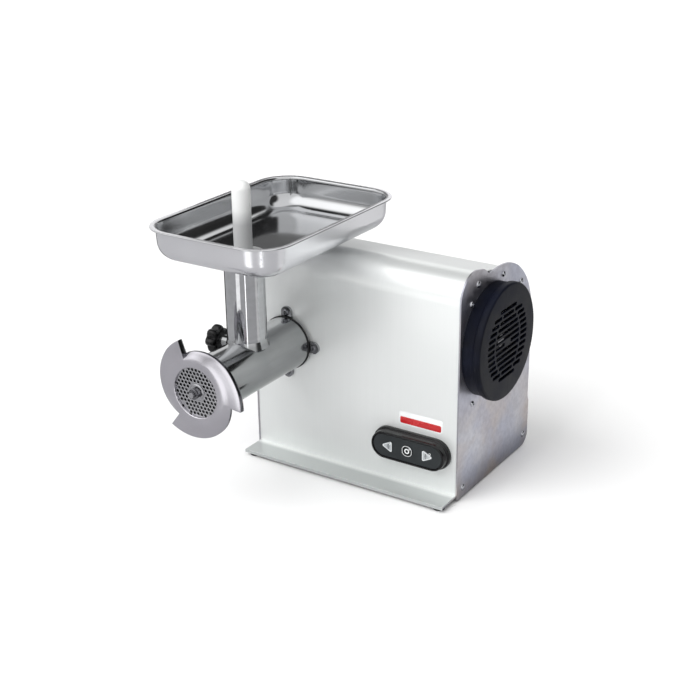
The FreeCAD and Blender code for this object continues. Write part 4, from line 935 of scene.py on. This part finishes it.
def perforated_plate():
    """The mincing plate with its raised hub, a hole-free spot by its key, and a field of flared holes."""
    radius, thickness, bore, hub, hub_rise = 41.0, 8.0, 6.08, 11.5, 1.5
    profile = [(bore, 0), (radius - 0.4, 0), (radius, 0.4), (radius, thickness - 0.4),
               (radius - 0.4, thickness), (hub + 0.5, thickness), (hub, thickness + 0.4),
               (hub, thickness + hub_rise - 0.4), (hub - 0.4, thickness + hub_rise),
               (bore + 0.5, thickness + hub_rise), (bore, thickness + hub_rise - 0.5)]
    plate = turned("perforated_plate", profile, Matrix.Identity(4), steps=120)
    key_angle = math.radians(-135)
    key_place = (37.4 * math.cos(key_angle), 37.4 * math.sin(key_angle), 0)
    grown(plate, PERFORATIONS, Key_Place=key_place, Finish=SATIN_STEEL)
    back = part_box("mincing_plate")[1].y
    plate.data.transform(spot(HEAD.x, back, HEAD.z, FORWARD))
    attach(plate, "plate")
    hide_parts("mincing_plate")


def star_knob():
    """The clamp knob: seven soft lobes with deep valleys and a shallow domed face."""
    lobes, radius, valley = 7, 21.4, 5.2
    section = ((0.4, 4.0), (0.2, 10.0), (0.0, 13.0), (0.2, 15.6), (1.0, 18.4), (2.4, 20.4), (4.4, 21.4),
               (11.2, 21.4), (13.4, 20.6), (15.2, 19.0), (16.4, 16.6), (16.9, 13.6), (16.6, 10.0),
               (16.2, 4.0))
    loops = []
    for height, reach in section:
        loop = []
        for step in range(168):
            angle = 2 * math.pi * step / 168
            wave = 0.5 + 0.5 * math.cos(lobes * angle)
            dip = valley * (1 - wave ** 0.6) * (reach / radius) ** 4
            loop.append(((reach - dip) * math.cos(angle), (reach - dip) * math.sin(angle), height))
        loops.append(loop)
    knob = skin("star_knob", loops, spot(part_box("clamp_knob")[1].x, KNOB.y, KNOB.z, LEFTWARD))
    dressed(settled(knob, sharp=50), GLOSS_PLASTIC)
    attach(knob, "knob")
    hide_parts("clamp_knob")


# ---------------------------------------------------------------- tray

def pressed_tray():
    """Deep-drawn tray: rolled rim, slightly leaning walls, round bottom, spigot in the floor."""
    size = TRAY_HIGH - TRAY_LOW
    width, length = size.x / MM, size.y / MM
    top, floor, corner = TRAY_HIGH.z / MM, 355.2, 53.0
    edge = ((1.2, top - 1.7), (1.2, top - 0.5), (1.4, top - 0.2), (1.8, top), (4.6, top), (8.0, top),
            (8.8, top - 0.5), (9.5, top - 1.6), (9.9, top - 3.6), (10.1, top - 7.0), (10.3, top - 12.0))
    loops = []
    for inset, height in edge:
        outline = rounded_rectangle(width - 2 * inset, length - 2 * inset, corner - inset * 0.95, steps=14)
        loops.append(at_height(outline, height))
    bend = 25.0
    for step in range(13):
        angle = math.radians(90 * step / 12)
        inset = 10.8 + bend * (1 - math.cos(angle))
        height = floor + bend * (1 - math.sin(angle))
        outline = rounded_rectangle(width - 2 * inset, length - 2 * inset,
                                    max(corner - inset * 0.95, 8.0), steps=14)
        loops.append(at_height(outline, height))
    centre = (TRAY_LOW + TRAY_HIGH) / 2
    hole_x = (middle("pusher").x - centre.x) / MM
    hole_y = (middle("pusher").y - centre.y) / MM
    last = loops[-1]
    directions = [math.atan2(y - hole_y, x - hole_x) for x, y, _ in last]
    hub = 30
    loops.append([((x + hole_x + hub * math.cos(a)) / 2, (y + hole_y + hub * math.sin(a)) / 2, floor)
                  for (x, y, _), a in zip(last, directions)])
    spigot = ((29.5, floor), (27.4, floor - 0.3), (25.6, floor - 1.4), (24.6, floor - 3.6),
              (24.6, TRAY_LOW.z / MM + 0.1))
    for radius, height in spigot:
        loops.append([(hole_x + radius * math.cos(a), hole_y + radius * math.sin(a), height)
                      for a in directions])
    tray = skin("pressed_tray", loops, spot(centre.x, centre.y, 0), capped=False)
    upward = sum(1 for face in tray.data.polygons if face.normal.z > 0.9 and face.center.z < 0.36)
    if not upward:
        tray.data.flip_normals()
    wall = tray.modifiers.new("sheet_thickness", "SOLIDIFY")
    wall.thickness = 1.1 * MM
    wall.offset = -1.0
    wall.material_offset = 1
    wall.material_offset_rim = 1
    dressed(tray, TRAY_INSIDE, TRAY_OUTSIDE)
    settled(tray, sharp=40)
    for face in tray.data.polygons:
        if face.center.z > TRAY_HIGH.z - 0.9 * MM:
            face.material_index = 1
    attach(tray, "tray")
    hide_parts("feed_tray")


# ---------------------------------------------------------------- fan cover

def slot_spans():
    """Rows of slots as (height, start, end): two curved gaps divide each row in three."""
    arc_radius, arc_shift, rows, pitch, gap, rim = 56.2, 19.2, 6, 8.6, 3.2, 61.0
    spans = []
    for row in range(-rows, rows + 1):
        height = row * pitch
        if abs(row) == rows:
            spans.append((height, -25, 25))
            continue
        centre = math.sqrt(arc_radius ** 2 - height ** 2) - arc_shift
        edge = math.sqrt(rim ** 2 - height ** 2)
        inner = [(-centre, -9), (9, centre)] if row == 0 else [(-centre, centre)]
        spans += [(height, start, end) for start, end in
                  [*inner, (-edge, -centre - gap), (centre + gap, edge)]]
    return spans


def grille_cover():
    """The stepped round fan cover with its rows of slots, solid in the middle."""
    outer, base, wall, depth, width = 87.0, 84.0, 3.0, 29.0, 5.0
    profile = [(base - wall, 0), (base, 0), (base, depth - 12.4), (base + 0.5, depth - 11.6),
               (outer - 0.9, depth - 10.4), (outer - 0.2, depth - 9.8), (outer, depth - 9.0),
               (outer, depth - 3.6), (outer - 0.3, depth - 2.2), (outer - 1.2, depth - 0.9),
               (outer - 2.4, depth - 0.2), (outer - 3.8, depth), (0, depth), (0, depth - wall),
               (base - wall, depth - wall)]
    cover = turned("fan_grille_cover", profile, Matrix.Identity(4), steps=144)
    points, edges = [], []
    for height, start, end in slot_spans():
        edges.append((len(points), len(points) + 1))
        points += [(start + width / 2, height, 0), (end - width / 2, height, 0)]
    mesh = bpy.data.meshes.new("slot_lines")
    mesh.from_pydata(points, edges, [])
    pattern = in_scene("slot_lines", mesh)
    grown(cover, GRILLE, Pattern=pattern, Slot_Width=width, Flare=0.45, Top=depth, Finish=CAP_PLASTIC)
    bpy.data.objects.remove(pattern)
    cover.data.transform(spot(END_PLATE_X, FAN.y, FAN.z, RIGHTWARD))
    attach(cover, "root")
    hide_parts("fan_cover")


# ---------------------------------------------------------------- switch pod

def pod_housing():
    """The switch pod: a rounded foot flange, a raised body and a shallow recess for the film."""
    profile = ((0.0, 0.0), (3.4, 0.0), (5.0, 0.5), (6.2, 1.5), (6.8, 2.9), (7.0, 4.0), (7.4, 4.7), (9.0, 5.0),
               (15.0, 5.4), (16.6, 5.9), (17.6, 6.8), (18.0, 8.2), (18.0, 9.4), (17.7, 9.9), (16.6, 10.0))
    full_length, full_height = 128.0, 48.0
    loops = [at_height(stadium(full_length - 1.15 * inset, full_height - inset, 24), ahead)
             for ahead, inset in profile]
    face_length, face_height = 116.0, 37.0
    loops[-2] = at_height(stadium(face_length, face_height, 24), 17.7)
    loops[-1] = at_height(stadium(face_length - 0.6, face_height - 0.6, 24), 14.4)
    pod = skin("switch_pod_housing", loops, spot(POD.x, PANEL_Y, POD.z, FORWARD))
    dressed(settled(pod, sharp=50), GLOSS_PLASTIC)
    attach(pod, "root")
    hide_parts("switch_bezel")


def flat_print(name, outlines, place, finish, body, thickness=0.12):
    """A thin raised print made of bands between two outlines each, or of filled outlines."""
    joined = bmesh.new()
    for outline, hole in outlines:
        count = len(outline)
        outer_low = [joined.verts.new((x, y, 0)) for x, y in outline]
        outer_high = [joined.verts.new((x, y, thickness)) for x, y in outline]
        walls = [(outer_low, outer_high)]
        if hole:
            inner_low = [joined.verts.new((x, y, 0)) for x, y in hole]
            inner_high = [joined.verts.new((x, y, thickness)) for x, y in hole]
            walls += [(outer_high, inner_high), (inner_high, inner_low), (inner_low, outer_low)]
        for first, second in walls:
            for index in range(count):
                after = (index + 1) % count
                joined.faces.new((first[index], first[after], second[after], second[index]))
        if not hole:
            joined.faces.new(outer_high)
            joined.faces.new(list(reversed(outer_low)))
    bmesh.ops.recalc_face_normals(joined, faces=joined.faces)
    mesh = bpy.data.meshes.new(name)
    joined.to_mesh(mesh)
    joined.free()
    mesh.transform(place)
    piece = in_scene(name, mesh)
    dressed(piece, finish)
    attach(piece, body)
    return piece


def scaled(outline, share, shift_x=0.0, shift_y=0.0):
    return [(x * share + shift_x, y * share + shift_y) for x, y in outline]


def triangle(half, radius, direction, steps=6):
    """A round-cornered triangle that points left or right."""
    corners = ((-direction * half * 0.9, -half), (direction * half, 0.0), (-direction * half * 0.9, half))
    centre = Vector((sum(x for x, _ in corners) / 3, 0.0))
    points = []
    for index, corner in enumerate(corners):
        here = Vector(corner)
        inward = (centre - here).normalized()
        before = Vector(corners[index - 1]) - here
        after = Vector(corners[(index + 1) % 3]) - here
        half_angle = before.angle(after) / 2
        hub = here + inward * (radius / math.sin(half_angle))
        start, end = before.normalized(), after.normalized()
        foot_a = here + start * (radius / math.tan(half_angle))
        foot_b = here + end * (radius / math.tan(half_angle))
        from_hub, to_hub = foot_a - hub, foot_b - hub
        for step in range(steps + 1):
            mixed = from_hub.lerp(to_hub, step / steps).normalized() * radius
            points.append(tuple(hub + mixed))
    return points


def circle(radius, steps=40, shift_x=0.0, shift_y=0.0):
    return [(shift_x + x, shift_y + y) for x, y in arc(0, 0, radius, 0, 360 - 360 / steps, steps - 1)]


def key_prints():
    """Printed marks on the three keys: outlined arrows with dark dashes inside, a stop ring, and a small lamp
    ring each.
    """
    for name, direction in (("reverse", -1), ("forward", 1)):
        low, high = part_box(name + "_button")
        centre = (low + high) / 2
        place = spot(centre.x - direction * 0.45 * MM, low.y, centre.z, FORWARD)
        outline = triangle(8.8, 1.7, direction)
        inner = scaled(outline, 0.86, direction * -0.2)
        rows = [(scaled(stadium(4.2 - 0.9 * abs(row), 0.8, 6), 1.0, direction * -2.2, row * 1.7), None)
                for row in range(-2, 3)]
        lamp = [(circle(1.7, 24, 4.6, 5.2), circle(1.0, 24, 4.6, 5.2))]
        flat_print(name + "_key_print", [(outline, inner)] + lamp, place, WHITE_PRINT, name + "_key")
        flat_print(name + "_key_rows", rows, place, SLATE, name + "_key", 0.08)
    low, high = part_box("stop_button")
    centre = (low + high) / 2
    place = spot(centre.x, low.y, centre.z, FORWARD)
    edge = rounded_rectangle(16.2, 16.2, 6.8, 8)
    outlines = [(edge, scaled(edge, 0.91)), (circle(4.0), circle(2.3)),
                (circle(1.5, 24, 4.5, 4.5), circle(0.8, 24, 4.5, 4.5))]
    flat_print("stop_key_print", outlines, place, WHITE_PRINT, "stop_key")


def blank_badge():
    """A plain two-tone name plate with nothing on it."""
    low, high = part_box("front_badge")
    centre = (low + high) / 2
    place = spot(centre.x, high.y, centre.z, FORWARD)
    base_outline = rounded_rectangle(72.0, 20.0, 3.0, 6)
    loops = [at_height(scaled(base_outline, share), height)
             for share, height in ((1.0, 0.0), (1.0, 0.3), (0.995, 0.45))]
    base = skin("name_plate_base", loops, place)
    dressed(settled(base, sharp=40), WHITE_PRINT)
    band_outline = scaled(rounded_rectangle(68.0, 10.4, 2.4, 6), 1.0, 0.0, -3.0)
    loops = [at_height(band_outline, 0.4), at_height(band_outline, 0.65),
             at_height([(x * 0.995, y * 0.99) for x, y in band_outline], 0.78)]
    band = skin("name_plate_band", loops, place)
    dressed(settled(band, sharp=40), RED_ENAMEL)
    for piece in (base, band):
        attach(piece, "root")
    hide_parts("front_badge")


all_screws()
lobed_nut()
head_seal()
auger_collar()
perforated_plate()
star_knob()
pressed_tray()
grille_cover()
pod_housing()
key_prints()
blank_badge()


# ---------------------------------------------------------------- stage, light and camera

def emitter(name, strength):
    material = bpy.data.materials.new(name)
    material.use_nodes = True
    tree = material.node_tree
    tree.nodes.clear()
    nodes = Nodes(tree)
    glow = nodes.add("ShaderNodeEmission", {"Color": (1, 1, 1, 1), "Strength": strength})
    ending = nodes.add("ShaderNodeOutputMaterial")
    tree.links.new(glow.outputs[0], ending.inputs["Surface"])
    return material


def reflector(name, x, y, z, width, height, azimuth, strength, tilt=0.0):
    """An upright card seen only in reflections; azimuth is the way it faces, in degrees."""
    mesh = bpy.data.meshes.new(name)
    w, h = width / 2, height / 2
    mesh.from_pydata([(-w, 0, -h), (w, 0, -h), (w, 0, h), (-w, 0, h)], [], [(0, 1, 2, 3)])
    turn = Matrix.Rotation(math.radians(azimuth + 90), 4, "Z") @ Matrix.Rotation(math.radians(tilt), 4, "X")
    mesh.transform(Matrix.Translation((x, y, z)) @ turn)
    card = in_scene(name, mesh)
    mesh.materials.append(emitter(name + "_glow", strength))
    card.visible_camera = False
    card.visible_diffuse = False
    card.visible_shadow = False


def pale_floor():
    size = 9.0
    mesh = bpy.data.meshes.new("studio_floor")
    mesh.from_pydata([(-size, -size, 0), (size, -size, 0), (size, size, 0), (-size, size, 0)], [],
                     [(0, 1, 2, 3)])
    floor = in_scene("studio_floor", mesh)
    material, nodes, shader, _ = new_finish("floor_paper", Roughness=0.9)
    path = nodes.add("ShaderNodeLightPath").outputs["Is Glossy Ray"]
    paper = nodes.blend(path, (0.98, 0.98, 0.98, 1), (0.43, 0.43, 0.44, 1))
    nodes.link(paper, shader["Base Color"])
    mesh.materials.append(material)


def studio_world():
    """A studio dome: soft grey with pale and dark panels; plain and pale to the camera."""
    world = bpy.data.worlds.new("studio")
    bpy.context.scene.world = world
    world.use_nodes = True
    tree = world.node_tree
    tree.nodes.clear()
    nodes = Nodes(tree)
    way = nodes.add("ShaderNodeTexCoord").outputs["Generated"]
    height = nodes.axis(way, 2)
    level = nodes.remap(height, 0.0, 1.0, 0.92, 1.08)
    panels = (((0.50, 0.77, 0.38), 36, 22, 0.03), ((0.87, 0.30, 0.35), 36, 22, 0.05),
              ((-0.50, 0.77, 0.38), 26, 14, 1.0), ((-0.50, 0.30, 0.80), 32, 12, 0.03),
              ((-0.50, -0.77, 0.30), 18, 8, 0.45),
              ((-0.35, -0.60, 0.72), 38, 14, 1.7))
    for direction, outer, inner, brightness in panels:
        unit = Vector(direction).normalized()
        closeness = nodes.add("ShaderNodeVectorMath", {0: way, 1: tuple(unit)},
                              operation="DOT_PRODUCT").outputs["Value"]
        mask = nodes.add("ShaderNodeMapRange",
                         {"Value": closeness, "From Min": math.cos(math.radians(outer)),
                          "From Max": math.cos(math.radians(inner))},
                         interpolation_type="SMOOTHSTEP").outputs["Result"]
        level = nodes.add("ShaderNodeMix", {0: mask, 2: level, 3: brightness}).outputs[0]
    studio = nodes.add("ShaderNodeBackground", {"Color": level}).outputs[0]
    plain = nodes.add("ShaderNodeBackground", {"Color": (1, 1, 1, 1)}).outputs[0]
    seen = nodes.add("ShaderNodeLightPath").outputs["Is Camera Ray"]
    both = nodes.add("ShaderNodeMixShader", {0: seen, 1: studio, 2: plain}).outputs[0]
    ending = nodes.add("ShaderNodeOutputWorld")
    tree.links.new(both, ending.inputs["Surface"])


def key_light():
    """A broad soft key from the front left."""
    lamp = bpy.data.lights.new("key_light", "SUN")
    lamp.energy, lamp.angle = 1.5, math.radians(50)
    holder = in_scene("key_light", lamp)
    holder.rotation_euler = Vector((0.35, 0.60, -0.72)).to_track_quat("-Z", "Y").to_euler()
    holder.visible_glossy = False


def camera():
    """The viewing camera: right of the front, a little above, with a short telephoto lens."""
    lens = bpy.data.cameras.new("viewing_camera")
    lens.lens, lens.sensor_width = 67.81, 36.0
    holder = in_scene("viewing_camera", lens)
    right = Vector((0.83978, 0.54283, -0.01044))
    up = Vector((-0.20135, 0.32924, 0.92253))
    back = Vector((0.50421, -0.77262, 0.38579))
    turn = Matrix((right, up, back)).transposed().to_4x4()
    holder.matrix_world = Matrix.Translation((0.97970, -1.49159, 0.94324)) @ turn
    bpy.context.scene.camera = holder


pale_floor()
studio_world()
key_light()
reflector("front_strip", 0.23, -0.52, 0.16, 0.035, 0.32, 129, 3.0)
reflector("front_card", -0.12, -0.62, 0.16, 0.20, 0.32, 90, 1.5)
reflector("left_flag", -0.62, 0.13, 0.20, 0.22, 0.40, -25, 0.05)
reflector("low_card", 0.70, 0.62, 0.003, 0.95, 1.30, 90, 0.80, tilt=90)
reflector("tray_flag", -0.33, 0.30, 0.53, 0.32, 0.20, -57, 0.16)
camera()
bpy.context.scene.view_settings.view_transform = "Standard"
